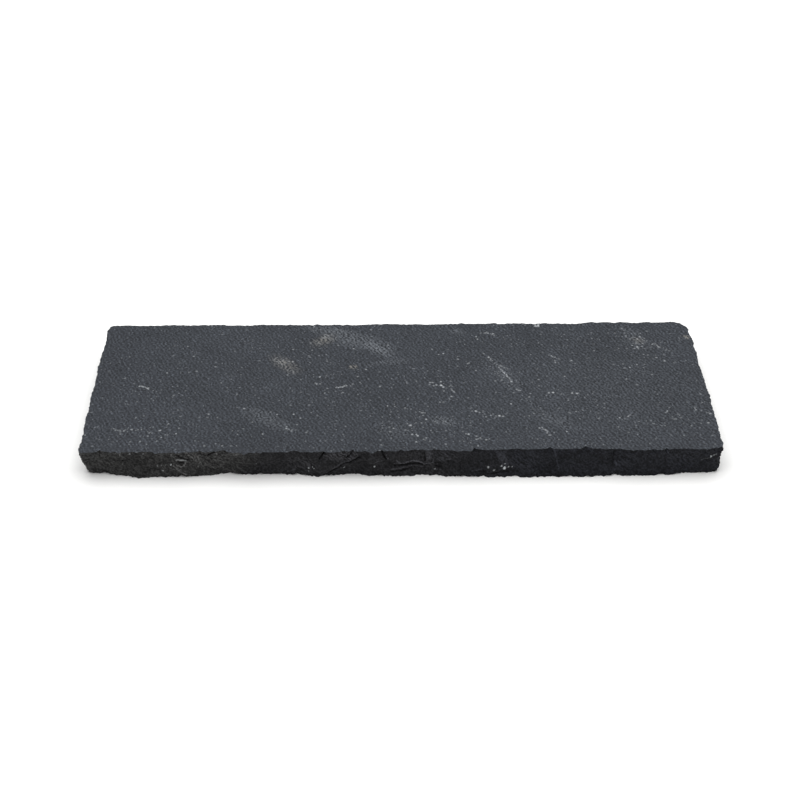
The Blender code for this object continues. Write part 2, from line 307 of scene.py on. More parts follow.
FACETS = (
    Patch(39, 38, 7, 12, 0.6),
    Patch(142, 31, 7.5, 15, 0.42, lean=-0.4),
)
BRUISES = (
    Patch(-84, 37, 26, 11, 0.3),
    Patch(-140, 24, 22, 16, 0.16),
    Patch(62, 34, 22, 11, 0.14),
    Patch(176, 26, 30, 16, 0.12),
    Patch(314, 26, 20, 16, 0.1),
    Patch(392, 26, 26, 16, 0.1),
    Patch(-262, 24, 40, 16, 0.06),
    Patch(-412, 22, 26, 18, 0.04),
)
SHADES = (
    Patch(-366, 24, 30, 26, 0.22),
    Patch(-158, 40, 44, 9, 0.2),
    Patch(-50, 14, 30, 14, 0.15),
    Patch(78, 16, 34, 14, 0.2),
    Patch(108, 38, 18, 12, 0.25),
    Patch(216, 6, 20, 9, 0.25),
    Patch(292, 28, 6, 24, 0.25),
    Patch(-312, 8, 8, 8, 0.3),
    Patch(216, 26, 20, 20, 0.12),
)
CRYSTALS = (
    Crystal(122, 17, 1.4, 0.6),
    Crystal(130, 12, 1.4, 0.5),
    Crystal(145, 15, 2.3),
    Crystal(141, 18, 1.1, 0.8),
    Crystal(151, 16, 1.0, 0.7),
    Crystal(156, 16, 0.9, 0.6),
    Crystal(146, 21, 0.9, 0.7),
    Crystal(48, 10, 1.1, 0.6),
    Crystal(-322, 23, 1.6, 0.7),
    Crystal(-334, 12, 1.4, 0.45),
    Crystal(-377, 42, 1.4, 0.35),
    Crystal(-397, 41, 1.3, 0.3),
    Crystal(-341, 20, 0.9, 0.4),
    Crystal(-358, 42, 0.9, 0.4),
    Crystal(-129, 15, 1.1, 0.6),
    Crystal(-124, 17, 1.2, 0.6),
    Crystal(-122, 15, 1.0, 0.6),
    Crystal(-130, 10, 1.0, 0.5),
    Crystal(-80, 14, 1.2, 0.5),
    Crystal(-37, 16, 1.5, 0.9),
    Crystal(-203, 19, 0.9, 0.4),
    Crystal(-341, 23, 0.9, 0.3),
    Crystal(-335, 22, 0.8, 0.3),
    Crystal(-329, 23, 0.9, 0.3),
    Crystal(434.5, 30, 1.3, 0.9),
    Crystal(438, 32, 0.9, 0.6),
    Crystal(440.5, 34.5, 0.8, 0.5),
)


def on_patch(patch, along, height):
    """1 over most of the patch, falling to 0 at its rim."""
    above = height - patch.height
    off_middle = (along - patch.along - patch.lean * above) / patch.half_width
    off_level = above / patch.half_height
    return np.clip(1.5 * (1 - off_middle**2 - off_level**2), 0, 1)


def on_crystal(crystal, along, height):
    """How much white the crystal shows: its own amount over most of it, and 0 at its rim."""
    off = np.hypot(along - crystal.along, height - crystal.height) / crystal.radius
    return crystal.pale * np.clip(2 * (1 - off**2), 0, 1)


print(len(FACETS + BRUISES + SHADES), "patches and", len(CRYSTALS), "crystals on the front")

# %% [markdown]
# ## Hewing by formula
#
# A sculpted multiresolution mesh or a displacement texture would both give rough edges. A formula for how
# far the edge stands proud at each point has two advantages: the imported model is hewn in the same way, so
# the two agree, and the formula also says where the ridges lie, which the finish needs later.
#
# From coarse to fine it adds the two lines, bulges, the hollow of the deepest chip or nick, lumps a few
# millimetres wide, sandy grain, and in patches the ripples of a break that curled. The ripples are
# slanting steps that a slow noise has bent into swirls. Beside the bed the rim is bitten into teeth.
# Sizes, depths and spacings are in millimetres, and every noise has its own seed.

# %% Noise, lines, chips and nicks at a point


def wander(points, length, seed):
    """Smooth noise from about -1 to 1 at each point, whose bumps are about this long in millimetres."""
    shift = Vector((seed * 7.3, seed * 3.1, seed * 5.7))
    scale = 1 / (length * MM)
    return np.array([noise.noise(Vector(p) * scale + shift) for p in points])


def line_at(line, along):
    """How far a line stands proud at each place, straight from one of its points to the next."""
    places, values = zip(*line)
    return np.interp(along, places, values)


def chip_depth(chips, along, height):
    """Each point's depth in the deepest chip over it."""
    deepest = np.zeros(len(along))
    for chip in chips:
        above = height - chip.height
        off_middle = (along - chip.along - chip.lean * above) / chip.half_width
        off_level = above / chip.half_height
        deepest = np.maximum(deepest, chip.depth * (1 - off_middle**2 - off_level**2))
    return deepest


def nick_depth(nicks, along, height):
    """Each point's depth in the deepest nick over it."""
    deepest = np.zeros(len(along))
    for nick in nicks:
        reach = np.where(along < nick.along, nick.left, nick.right)
        off_middle = np.abs(along - nick.along) / reach
        off_level = (height - THICKNESS / MM) / nick.tall
        deepest = np.maximum(deepest, nick.depth * (1 - off_middle - off_level**2))
    return deepest


corner_of_chisel = np.array([(FRONT_NICKS[0].along, THICKNESS / MM)])
print("the first nick is", nick_depth(FRONT_NICKS, *corner_of_chisel.T)[0], "mm deep in its middle")

# %% Ripples and torn edges
RIPPLE_SPACING = 14
RIPPLE_SLANT = (0.5, 0.6)
SWIRL_SIZE = 36
SWIRL_STEPS = 3.5
RISER = 0.22
CREST_WIDTH = 0.12
RIPPLED_SIZE = 70
RIPPLED_STEEPNESS = 3
RIPPLED_EXTRA = 0.4
TEAR_SIZE = 4.5
TEAR_DEPTH = 1.0


def ripples(points):
    """(height of the ripples from -0.5 to 0.5, 1 on their crests), both faded out between the patches."""
    slant = (points[:, 0] + points[:, 1]) * RIPPLE_SLANT[0] + points[:, 2] * RIPPLE_SLANT[1]
    step = (slant / (RIPPLE_SPACING * MM) + SWIRL_STEPS * wander(points, SWIRL_SIZE, 10)) % 1
    slope = np.where(step < 1 - RISER, step / (1 - RISER), (1 - step) / RISER) - 0.5
    crest = np.clip(1 - np.abs(step - (1 - RISER)) / CREST_WIDTH, 0, 1)
    rippled = RIPPLED_STEEPNESS * wander(points, RIPPLED_SIZE, 11) + RIPPLED_EXTRA
    share = np.clip(rippled, 0, 1)
    return slope * share, crest * share


def along_and_height(side, points):
    """Each point's place along a side, and its height, in millimetres."""
    return points[:, 1 if side.out[0] else 0] / MM, points[:, 2] / MM


def torn(points):
    """Along and height on the front, nudged so that whatever is drawn by them gets a torn edge."""
    along, height = along_and_height(SIDES["front"], points)
    along = along + TEAR_DEPTH * wander(points, TEAR_SIZE, 14)
    return along, height + TEAR_DEPTH * wander(points, TEAR_SIZE, 15)


half_way_up = np.array([(x * MM, -WIDTH / 2, THICKNESS / 2) for x in range(-440, 441, 2)])
print("ripples cover", round(100 * np.mean(ripples(half_way_up)[0] != 0)), "% of the front's middle")

# %% How far an edge stands proud
BULGE_SIZE = 17
BULGE_DEPTH = 1.3
CALM_AT_ARRIS = 0.65
SWAY_LENGTH = 38
LUMP_SIZE = 6.5
LUMP_DEPTH = 1.2
SAND_SIZE = 2.8
SAND_DEPTH = 0.8
RIPPLE_DEPTH = 1.3
TEETH_SIZE = 6
TEETH_DEPTH = 4.0
TEETH_REACH = 9
FACET_SMOOTHNESS = 0.5
CRYSTAL_RISE = 0.5
PULL = 40 * MM


def proud_of_nominal(side, points):
    """How far a side stands proud of its nominal face, at the place and height of each point."""
    along, height = along_and_height(side, points)
    share_up = points[:, 2] / THICKNESS
    in_plan = points * (1, 1, 0)
    top = line_at(side.top_line, along) + side.top_sway * wander(in_plan, SWAY_LENGTH, 1)
    bed = line_at(side.bed_line, along) + side.bed_sway * wander(in_plan, SWAY_LENGTH, 2)
    face = bed + (top - bed) * share_up
    bulges = BULGE_DEPTH * wander(points, BULGE_SIZE, 3)
    at_arris = 1 - 4 * share_up * (1 - share_up)
    broken_out = np.maximum(chip_depth(side.chips, along, height), nick_depth(side.nicks, along, height))
    return face + bulges * (1 - CALM_AT_ARRIS * at_arris) - broken_out


def fine_relief(side, points):
    """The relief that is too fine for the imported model, in millimetres."""
    along, height = along_and_height(side, points)
    lumps = LUMP_DEPTH * wander(points, LUMP_SIZE, 8)
    sand = SAND_DEPTH * wander(points, SAND_SIZE, 9)
    relief = lumps + sand + RIPPLE_DEPTH * ripples(points)[0]
    at_bed = np.clip(1 - height / TEETH_REACH, 0, 1) ** 2
    relief -= TEETH_DEPTH * at_bed * np.abs(wander(points, TEETH_SIZE, 12))
    if side is not SIDES["front"]:
        return relief
    along, height = torn(points)
    for facet in FACETS:
        relief *= 1 - FACET_SMOOTHNESS * on_patch(facet, along, height)
    for stroke in SWIRLS + RIDGES + CALCITE_VEINS + SLITS:
        relief += stroke.rise * on_stroke(stroke, along, height)
    for crystal in CRYSTALS:
        relief += CRYSTAL_RISE * on_crystal(crystal, along, height)
    return relief


def draw_to_lines(points):
    """Moves points with the nearest sides, most at a side's face and not at all past PULL from it."""
    moved = points.copy()
    half = np.array([LENGTH / 2, WIDTH / 2])
    for side in SIDES.values():
        axis = 0 if side.out[0] else 1
        outward = side.out[axis]
        inside = half[axis] - outward * points[:, axis]
        near = inside < PULL
        share = 1 - inside[near] / PULL
        share = share**2 * (3 - 2 * share)
        proud = proud_of_nominal(side, points[near]) + fine_relief(side, points[near])
        moved[near, axis] += outward * share * proud * MM
    points[:] = moved


proud = proud_of_nominal(SIDES["front"], half_way_up)
print("half-way up, the front stands", round(proud.min(), 1), "to", round(proud.max(), 1), "mm proud")

# %% [markdown]
# ## The outline and its columns of points
#
# The mesh has to be fine where the eye is close to it and where the stone is rough: about a millimetre on
# the front, a little more on the hidden edges. Subdividing a whole box that finely would spend most of its
# points on the flat top. So the outline is walked once, counter-clockwise from above, and a column of
# points is raised at every step. Corners are rounded in the outline, where it is one line of arithmetic.

# %% Walk the outline
FRONT_FIELD = 1.0 * MM
HIDDEN_FIELD = 1.6 * MM
COURSES = 40


def walk(start, end, field):
    """Evenly spaced places from start up to but not including end."""
    return np.linspace(start, end, round(abs(end - start) / field), endpoint=False)


def box_outline():
    """Points round the nominal box in plan, from its front left corner, and the side each step is on."""
    half_length, half_width = LENGTH / 2, WIDTH / 2
    front = walk(-half_length, half_length, FRONT_FIELD)
    right = walk(-half_width, half_width, HIDDEN_FIELD)
    back = walk(half_length, -half_length, HIDDEN_FIELD)
    left = walk(half_width, -half_width, HIDDEN_FIELD)
    runs = (
        ("front", np.stack([front, np.full(len(front), -half_width)], axis=1)),
        ("right", np.stack([np.full(len(right), half_length), right], axis=1)),
        ("back", np.stack([back, np.full(len(back), half_width)], axis=1)),
        ("left", np.stack([np.full(len(left), -half_length), left], axis=1)),
    )
    names = [name for name, run in runs for _ in run]
    return np.concatenate([run for _, run in runs]), names


def round_corners(plan):
    """The outline with each corner's points moved onto its arc."""
    rounded = plan.copy()
    for (side_x, side_y), radius in CORNER_RADIUS.items():
        here = (np.sign(plan[:, 0] + 1e-9) == side_x) & (np.sign(plan[:, 1] + 1e-9) == side_y)
        reach = np.array([LENGTH / 2 - radius, WIDTH / 2 - radius])
        core = np.clip(plan[here], -reach, reach)
        away = plan[here] - core
        away /= np.linalg.norm(away, axis=1)[:, None]
        rounded[here] = core + radius * away
    return rounded


box_plan, step_sides = box_outline()
outline = round_corners(box_plan)
columns = len(outline)
print(columns, "columns of", COURSES + 1, "points round the outline")

# %% [markdown]
# ## Calcite in the top
#
# White calcite filled the cracks and the shells in the old lime mud. On top it shows as short broken veins
# and as single grains, from a pin's head to a lentil. A threshold on a noise texture would put them
# anywhere. So each vein is a listed path, with grains strewn along it by a seeded generator, and the
# single grains are placed one by one. Bright and faint ones draw their size and amount from a range. Those
# in clusters have their own, since there the eye compares one with the next. Each grain gets a point of
# the mesh in its middle and six round its rim, which carry how much calcite is there. Places, half widths
# and radii are in millimetres.

# %% Veins of the top
Vein = namedtuple("Vein", "path half_width grains amount")
Grain = namedtuple("Grain", "x y radius amount")

TOP_VEINS = (
    Vein(((-384, 2), (-376, -2), (-369, -6)), 1.4, 8, 0.5),
    Vein(((-411, -98), (-398, -100), (-380, -98), (-368, -98)), 3.0, 18, 0.32),
    Vein(((-358, -102), (-353, -108)), 0.8, 3, 0.3),
    Vein(((-343, -100), (-339, -102)), 1.2, 3, 0.4),
    Vein(((-93, -6), (-85, -4), (-78, -2)), 1.2, 8, 0.5),
    Vein(((-72, -2), (-69, 3)), 1.2, 3, 0.35),
    Vein(((-126, 4), (-116, 3)), 2.0, 5, 0.38),
    Vein(((-60, 8), (-57, 2)), 0.8, 3, 0.25),
    Vein(((-164, -98), (-150, -104)), 3.5, 8, 0.3),
    Vein(((75, -11), (81, -20)), 0.6, 8, 0.3),
    Vein(((29, -66), (35, -66)), 2.0, 4, 0.36),
    Vein(((134, 68), (138, 58)), 2.0, 7, 0.42),
    Vein(((144, 50), (150, 38), (155, 30)), 1.5, 11, 0.32),
    Vein(((149, 46), (158, 40), (163, 34)), 2.0, 9, 0.28),
    Vein(((152, 32), (157, 24)), 1.4, 6, 0.5),
    Vein(((157, 24), (161, 16), (165, 5)), 1.2, 10, 0.42),
    Vein(((172, -12), (177, -17)), 2.0, 5, 0.36),
    Vein(((131, 127), (141, 125), (148, 119)), 2.2, 11, 0.36),
    Vein(((230, 67), (237, 62)), 2.0, 5, 0.34),
    Vein(((233, 58), (235, 50)), 1.3, 5, 0.36),
    Vein(((238, 61), (243, 58)), 1.5, 3, 0.3),
    Vein(((198, -100), (206, -108), (212, -120)), 1.8, 13, 0.36),
    Vein(((385, 95), (391, 96), (396, 87), (402, 85)), 1.0, 13, 0.34),
    Vein(((440, -69), (448, -74)), 1.5, 6, 0.38),
    Vein(((424, -54), (426, -64)), 1.5, 5, 0.25),
    Vein(((325, -79), (330, -73)), 0.8, 4, 0.25),
    Vein(((382, -70), (386, -64)), 0.8, 4, 0.3),
    Vein(((390, -80), (393, -87)), 2.0, 5, 0.26),
    Vein(((211, 143), (218, 146)), 4.0, 16, 0.75),
    Vein(((-184, 64), (-170, 60), (-160, 56)), 6.0, 17, 0.26),
    Vein(((-183, 54), (-172, 49)), 4.0, 10, 0.26),
    Vein(((-168, 42), (-155, 28)), 4.0, 9, 0.18),
    Vein(((-121, 117), (-106, 124)), 6.0, 15, 0.26),
    Vein(((-129, 107), (-112, 102)), 6.0, 13, 0.2),
    Vein(((-108, 118), (-104, 110)), 4.0, 7, 0.22),
)
STREWN_RADIUS = (1.4, 2.5)
STREWN_SHARE = (0.6, 1.2)
STREWN_SPREAD = 0.5


def strewn(vein, draw):
    """The grains along a vein, evenly spread along it and most of them near its middle."""
    path = np.array(vein.path, float)
    walked = np.concatenate([[0], np.cumsum(np.linalg.norm(np.diff(path, axis=0), axis=1))])
    for i in range(vein.grains):
        place = walked[-1] * (i + draw.random()) / vein.grains
        x = np.interp(place, walked, path[:, 0]) + draw.gauss(0, STREWN_SPREAD) * vein.half_width
        y = np.interp(place, walked, path[:, 1]) + draw.gauss(0, STREWN_SPREAD) * vein.half_width
        yield Grain(x, y, draw.uniform(*STREWN_RADIUS), vein.amount * draw.uniform(*STREWN_SHARE))


print(len(TOP_VEINS), "veins of", sum(vein.grains for vein in TOP_VEINS), "grains")

# %% Single grains of the top
BRIGHT_GRAINS = (
    (-322, 98), (-310, 73), (-346, 32), (-330, -22), (-314, -96), (-317, -108), (-337, -116), (-166, 25),
    (-225, -53), (-275, -65), (-195, -110), (-250, -139), (-153, -67), (-177, -67), (-131, 144),
    (-118, 20), (-69, 89), (-62, 20), (-50, 37), (-143, -76), (-147, -90), (-29, -4), (-18, -50),
    (-10, -100), (60, 73), (67, 75), (105, 51), (103, 50), (119, 117), (121, 111), (108, -143),
    (161, -47), (235, -110), (245, 17), (253, -66), (259, 55), (296, 79), (297, 111),
    (345, 37), (356, 44), (368, 44), (399, 52), (438, -93), (437, -28), (314, -80),
)
FAINT_GRAINS = (
    (-448, -134), (-443, 11), (-430, -92), (-424, -120), (-387, -12), (-361, -10), (-358, -33), (-355, -142),
    (-342, -37), (-342, 143), (-334, -1), (-330, 56), (-327, 0), (-327, -130), (-323, -17), (-320, -55),
    (-317, -22), (-317, -79), (-332, -110), (-301, -136), (-297, 59), (-299, -16), (-286, 144), (-258, 29),
    (-252, 23), (-230, -103), (-230, -110), (-216, -3), (-212, -11), (-202, -140), (-158, -46), (-161, -6),
    (-134, 55), (-127, -40), (-142, -58), (-113, -125), (-110, -20), (-103, 54), (-99, 51), (-102, 25),
    (-101, -55), (-94, -15), (-93, -89), (-91, -102), (-83, -125), (-78, -95), (-57, -43), (-49, -50),
    (-46, 14), (-25, -88), (-18, 23), (-13, -121), (-12, 14), (-12, -8), (-12, -89), (-9, 0), (-2, 24),
    (7, 20), (8, 10), (8, -104), (12, -34), (17, 42), (20, 38), (22, -46), (37, 16), (42, 32), (57, 19),
    (73, 19), (94, 105), (100, -32), (110, -50), (136, -36), (149, -110),
    (180, 99), (187, -134), (192, -69), (196, 4), (199, 71), (201, -128), (214, 100), (222, -128),
    (245, -131), (255, 122), (264, -18), (264, 48), (265, 136), (267, -139), (272, -142), (276, 14),
    (282, -24), (284, -44), (281, -126), (290, 1), (305, -140), (348, 42), (357, 37), (365, 36),
    (345, 29), (366, 26), (352, 21), (376, 20), (351, -88), (351, -95),
    (358, -127), (376, 67), (381, -120), (387, -10), (396, -27), (399, -121), (403, -95),
    (416, 49), (416, -46), (423, -120), (428, -94), (432, 52), (432, 144), (433, -66), (441, 43),
    (441, -46),
)
CLUSTERED_GRAINS = (
    Grain(346, 134, 2.4, 0.42), Grain(349, 130, 1.9, 0.28), Grain(350, 117, 2.1, 0.3),
    Grain(350, 114, 1.9, 0.26), Grain(355, 109, 2.9, 0.2), Grain(366, 108, 2.6, 0.42),
    Grain(363, 101, 2.2, 0.34), Grain(371, 114, 2.6, 0.4), Grain(377, 110, 2.0, 0.26),
    Grain(374, 106, 2.0, 0.32), Grain(380, 103, 2.1, 0.26), Grain(373, 97, 2.5, 0.3),
    Grain(356, 92, 2.2, 0.36), Grain(358, 84, 2.1, 0.34), Grain(363, 88, 3.0, 0.55),
    Grain(364, 84, 2.1, 0.34), Grain(370, 89, 2.2, 0.36), Grain(374, 84, 2.0, 0.22),
    Grain(386, 94, 2.0, 0.2), Grain(405, 79, 2.0, 0.28), Grain(407, 82, 1.8, 0.26),
    Grain(410, 78, 2.1, 0.36), Grain(334, 84, 2.1, 0.26), Grain(339, 116, 1.8, 0.15),
    Grain(344, 115, 1.9, 0.18), Grain(384, 127, 2.2, 0.26), Grain(359, 112, 1.9, 0.18),
    Grain(45, 4, 2.6, 0.32), Grain(49, 4, 2.7, 0.4), Grain(44, -1, 2.5, 0.2), Grain(54, -2, 2.8, 0.38),
    Grain(50, -4, 2.4, 0.34), Grain(61, 6, 2.7, 0.44), Grain(61, -3, 3.2, 0.75), Grain(64, -7, 2.4, 0.48),
    Grain(68, -9, 1.9, 0.26), Grain(73, -5, 1.9, 0.24), Grain(75, -3, 1.9, 0.26), Grain(77, -5, 1.9, 0.24),
    Grain(64, -16, 2.3, 0.34), Grain(52, -18, 1.9, 0.18), Grain(75, -29, 2.6, 0.44),
    Grain(72, -35, 2.0, 0.24), Grain(83, -36, 1.9, 0.16), Grain(58, -42, 2.2, 0.32),
    Grain(14, -94, 3.0, 0.6), Grain(10, -90, 2.1, 0.26), Grain(6, -104, 2.0, 0.24),
    Grain(10, -105, 2.0, 0.26), Grain(16, -114, 2.5, 0.42), Grain(22, -114, 2.3, 0.42),
    Grain(24, -117, 2.5, 0.6), Grain(19, -98, 1.9, 0.2),
    Grain(32, -125, 2.0, 0.26), Grain(34, -127, 2.1, 0.3), Grain(41, -130, 2.1, 0.36),
    Grain(64, -106, 2.2, 0.3), Grain(43, -106, 2.1, 0.2), Grain(30, -89, 2.0, 0.3), Grain(37, -81, 2.7, 0.46),
    Grain(22, -131, 2.3, 0.4), Grain(64, -87, 1.9, 0.2), Grain(76, -109, 2.0, 0.22),
    Grain(92, -113, 2.2, 0.34), Grain(96, -114, 2.7, 0.48), Grain(107, -119, 2.3, 0.36),
    Grain(112, -122, 2.0, 0.24), Grain(106, -127, 2.7, 0.42), Grain(109, -125, 2.0, 0.26),
    Grain(120, -127, 2.7, 0.52), Grain(98, -133, 1.9, 0.22), Grain(109, -63, 3.0, 0.52),
    Grain(103, -63, 2.0, 0.24), Grain(114, -66, 2.3, 0.26), Grain(119, -63, 2.0, 0.22),
    Grain(123, -76, 2.1, 0.28), Grain(121, -70, 1.9, 0.16), Grain(130, -73, 2.2, 0.3),
    Grain(133, -70, 1.9, 0.22), Grain(137, -74, 2.1, 0.24), Grain(142, -74, 2.9, 0.65),
    Grain(147, -75, 2.5, 0.46), Grain(135, -79, 1.9, 0.2), Grain(146, -59, 2.0, 0.24),
    Grain(218, -22, 2.4, 0.44), Grain(224, -21, 2.9, 0.62), Grain(236, -25, 2.2, 0.32),
    Grain(230, -23, 1.8, 0.16), Grain(252, -23, 2.9, 0.6), Grain(259, -24, 2.9, 0.62),
)
print(len(BRIGHT_GRAINS), "bright,", len(FAINT_GRAINS), "faint and", len(CLUSTERED_GRAINS), "in clusters")

# %% Lay out all the grains
BRIGHT = (1.9, 2.5, 0.42)
FAINT = (1.5, 2.1, 0.2)
PLACED_SHARE = (0.7, 1.3)
RIM_OF_GRAIN = 6
UNEVEN_RIM = (0.85, 1.15)
CALCITE_REACH = 0.85


def all_grains():
    """The grains of the veins, the single ones and those in clusters."""
    draw = random.Random(5)
    grains = [grain for vein in TOP_VEINS for grain in strewn(vein, draw)]
    for places, (least, most, amount) in ((BRIGHT_GRAINS, BRIGHT), (FAINT_GRAINS, FAINT)):
        for x, y in places:
            radius = draw.uniform(least, most)
            grains.append(Grain(x, y, radius, amount * draw.uniform(*PLACED_SHARE)))
    return grains + list(CLUSTERED_GRAINS)


top_grains = all_grains()
print(len(top_grains), "grains of calcite in the top")


def grain_points(grain, draw):
    """The middle of a grain and its uneven rim, in plan."""
    middle = np.array([grain.x, grain.y])
    turn = draw.random()
    points = [middle]
    for i in range(RIM_OF_GRAIN):
        angle = math.tau * (i + turn) / RIM_OF_GRAIN
        reach = grain.radius * draw.uniform(*UNEVEN_RIM)
        points.append(middle + reach * np.array([math.cos(angle), math.sin(angle)]))
    return points


def calcite_at(plan):
    """How much calcite is at each point in plan, from 0 to 1."""
    amount = np.zeros(len(plan))
    for grain in top_grains:
        off = np.linalg.norm(plan / MM - (grain.x, grain.y), axis=1) / (CALCITE_REACH * grain.radius)
        amount = np.maximum(amount, grain.amount * np.clip(1 - off, 0, 1))
    return amount


# %% [markdown]
# ## Points inside the top and the bed
#
# The top and the bed span the same outline, but need far fewer points inside it. The top has an even
# field of them, and the points of its calcite grains. The bed is flat, so it has a wide field and one
# ring just inside its rim, which keeps what breaks off the bed arris near the arris.

# %% Spread points over the top and the bed
TOP_FIELD = 4.4 * MM
BED_FIELD = 30 * MM
BED_RING = 5 * MM
RING_STEP = 3
CLEARANCE = 0.6
STAGGER = 0.25
GRAIN_CLEARANCE = 2 * MM


def points_inside(field):
    """A staggered grid inside the outline, clear of its rim by a little over half a field."""
    clear = CLEARANCE * field
    rows = round((WIDTH - 2 * clear) / field)
    places = round((LENGTH - 2 * clear) / field)
    first = clear - LENGTH / 2 + STAGGER * field
    last = LENGTH / 2 - clear - STAGGER * field
    grid = []
    for j, y in enumerate(np.linspace(clear - WIDTH / 2, WIDTH / 2 - clear, rows + 1)):
        stagger = STAGGER * field * (-1) ** j
        for x in np.linspace(first, last, places):
            grid.append((x + stagger, y))
    grid = np.array(grid)
    for (side_x, side_y), radius in CORNER_RADIUS.items():
        beyond = grid * (side_x, side_y) - (LENGTH / 2 - radius, WIDTH / 2 - radius)
        in_corner = (beyond > 0).all(axis=1)
        cut_off = in_corner & (np.linalg.norm(beyond, axis=1) > radius - clear)
        grid = grid[~cut_off]
    return grid


rim_draw = random.Random(6)
grains_in_plan = np.array([point for grain in top_grains for point in grain_points(grain, rim_draw)]) * MM
room = np.array([LENGTH / 2, WIDTH / 2]) - np.abs(grains_in_plan)
grains_in_plan = grains_in_plan[(room > GRAIN_CLEARANCE).all(axis=1)]
top_inner = np.concatenate([points_inside(TOP_FIELD), grains_in_plan])
nominal_plan = np.array([LENGTH, WIDTH])
bed_ring = outline[::RING_STEP] * (nominal_plan - 2 * BED_RING) / nominal_plan
bed_inner = np.concatenate([points_inside(BED_FIELD), bed_ring])
print(len(top_inner), "points inside the top and", len(bed_inner), "inside the bed")

# %% [markdown]
# ## The stone itself
#
# Now the box is hewn. Every column, and the top and bed beside it, moves in or out by the formula. The
# top arris is worn down by up to half a millimetre, and the bed arris has lifted a little where bits broke
# off. The top gets the faint swells of a natural cleft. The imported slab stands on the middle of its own
# box, which is a little in front of the middle of the ordered slab, so the stone is moved by the same
# amount. At the end it is planed to that box, so that it can never be larger than the part.

# %% Hew the edges and swell the top
ARRIS_WEAR = 0.5
TOP_SWELL_LENGTH = 90
TOP_SWELL = 0.7
CLEFT_LENGTH = 16
CLEFT_DEPTH = 0.14
RIM_WIDTH = 9 * MM
BED_LIFT = 3.0
BED_LIFT_LENGTH = 11
LIFT_FROM = 0.1
LIFTED_COURSES = 4
BOX_MIDDLE = np.array([0.3, -1.38]) * MM


def with_height(plan, height):
    """Points in plan, all raised to one height."""
    return np.column_stack([plan, np.full(len(plan), height)])


levels = np.linspace(0, THICKNESS, COURSES + 1)
edge_points = np.concatenate([with_height(outline, level) for level in levels])
top_points = with_height(top_inner, THICKNESS)
bed_points = with_height(bed_inner, 0.0)
stone = np.concatenate([edge_points, top_points, bed_points])
draw_to_lines(stone)

edge_count = len(edge_points)
top_rim = slice(COURSES * columns, edge_count)
top_middle = slice(edge_count, edge_count + len(top_points))

wear = 0.5 + 0.5 * wander(with_height(outline, THICKNESS), SWAY_LENGTH, 4)
stone[top_rim, 2] -= ARRIS_WEAR * MM * wear

from_rim = np.minimum(LENGTH / 2 - np.abs(top_inner[:, 0]), WIDTH / 2 - np.abs(top_inner[:, 1]))
at_rim = np.clip(1 - from_rim / RIM_WIDTH, 0, 1) ** 2
swell = TOP_SWELL * (wander(top_points, TOP_SWELL_LENGTH, 6) - 0.5)
cleft = CLEFT_DEPTH * wander(top_points, CLEFT_LENGTH, 7)
edge_wear = ARRIS_WEAR * (0.5 + 0.5 * wander(top_points, SWAY_LENGTH, 4))
stone[top_middle, 2] += MM * ((1 - at_rim) * (swell + cleft) - at_rim * edge_wear)

lift = BED_LIFT * np.clip(wander(with_height(outline, 0.0), BED_LIFT_LENGTH, 13) - LIFT_FROM, 0, 1)
for course in range(LIFTED_COURSES):
    row = slice(course * columns, (course + 1) * columns)
    stone[row, 2] += lift * MM * (1 - course / LIFTED_COURSES)
print("the bed arris lifts by up to", round(lift.max(), 2), "mm")

stone[:, :2] -= BOX_MIDDLE
stone[:, 2] -= stone[:, 2].min()
over = max((slab_low - stone).max(), (stone - slab_high).max()) / MM
np.clip(stone, slab_low, slab_high, out=stone)
hewn_size = stone.max(axis=0) - stone.min(axis=0)
print("hewn size, in mm:", np.round(hewn_size / MM, 1), "planed off at most", round(over, 2))

# %% [markdown]
# ## Filling the top and the bed
#
# A grid fill can't join a fine rim to a coarse middle. A Delaunay triangulation can, and Blender has one
# built in: it takes the rim as a fixed loop and joins the points inside it with the best-shaped triangles.
# It is done on the hewn stone, not on the box before it. Hewing moves neighbours by different amounts, and
# a thin triangle drawn beforehand could be turned over by that.

# %% Join the points into triangles
SAME_POINT = 1e-7
INSIDE_ONLY = 1


def fill(rim, middle):
    """Triangles over a rim and the points inside it, as numbers that count the rim's points first."""
    flat = [Vector(p) for p in np.concatenate([stone[rim, :2], stone[middle, :2]])]
    loop = [list(range(columns))]
    found = geometry.delaunay_2d_cdt(flat, [], loop, INSIDE_ONLY, SAME_POINT)
    _, _, triangles, sources = found[:4]
    return [[sources[corner][0] for corner in triangle] for triangle in triangles]


bed_rim = slice(0, columns)
bed_middle = slice(top_middle.stop, len(stone))
top_triangles = fill(top_rim, top_middle)
bed_triangles = fill(bed_rim, bed_middle)
print(len(top_triangles), "triangles on top and", len(bed_triangles), "on the bed")

# %% [markdown]
# ## Faces, finishes and the map
#
# The top was brushed, the edges were split and the bed was ground to thickness, so the mesh has three
# groups of faces with a finish each. It also carries four numbers at every point, saying how much pale
# crushed stone, bruising, painted shade of slits and shades, and white calcite is there. A finish reads those
# by name.
#
# Its map is laid out like pieces on a sheet: the top at full size, the bed at half size because it is
# hidden, the long edges cut in two and drawn twice as large, since they have the finest marks, and the
# ends a third larger.

# %% Make the mesh
TOP, SPLIT, BED = 0, 1, 2
SHARP_FROM = math.radians(42)


def edge_faces():
    """Quads between neighbouring columns and courses, and the step of the outline that each is on."""
    faces, steps = [], []
    for course in range(COURSES):
        below, above = course * columns, (course + 1) * columns
        for step in range(columns):
            beyond = (step + 1) % columns
            faces.append((below + step, below + beyond, above + beyond, above + step))
            steps.append(step)
    return faces, steps


def renumbered(triangles, rim_start, inner_start):
    """The triangles with the numbers that their points have in the whole stone."""
    return [
        tuple(rim_start + i if i < columns else inner_start + i - columns for i in triangle)
        for triangle in triangles
    ]


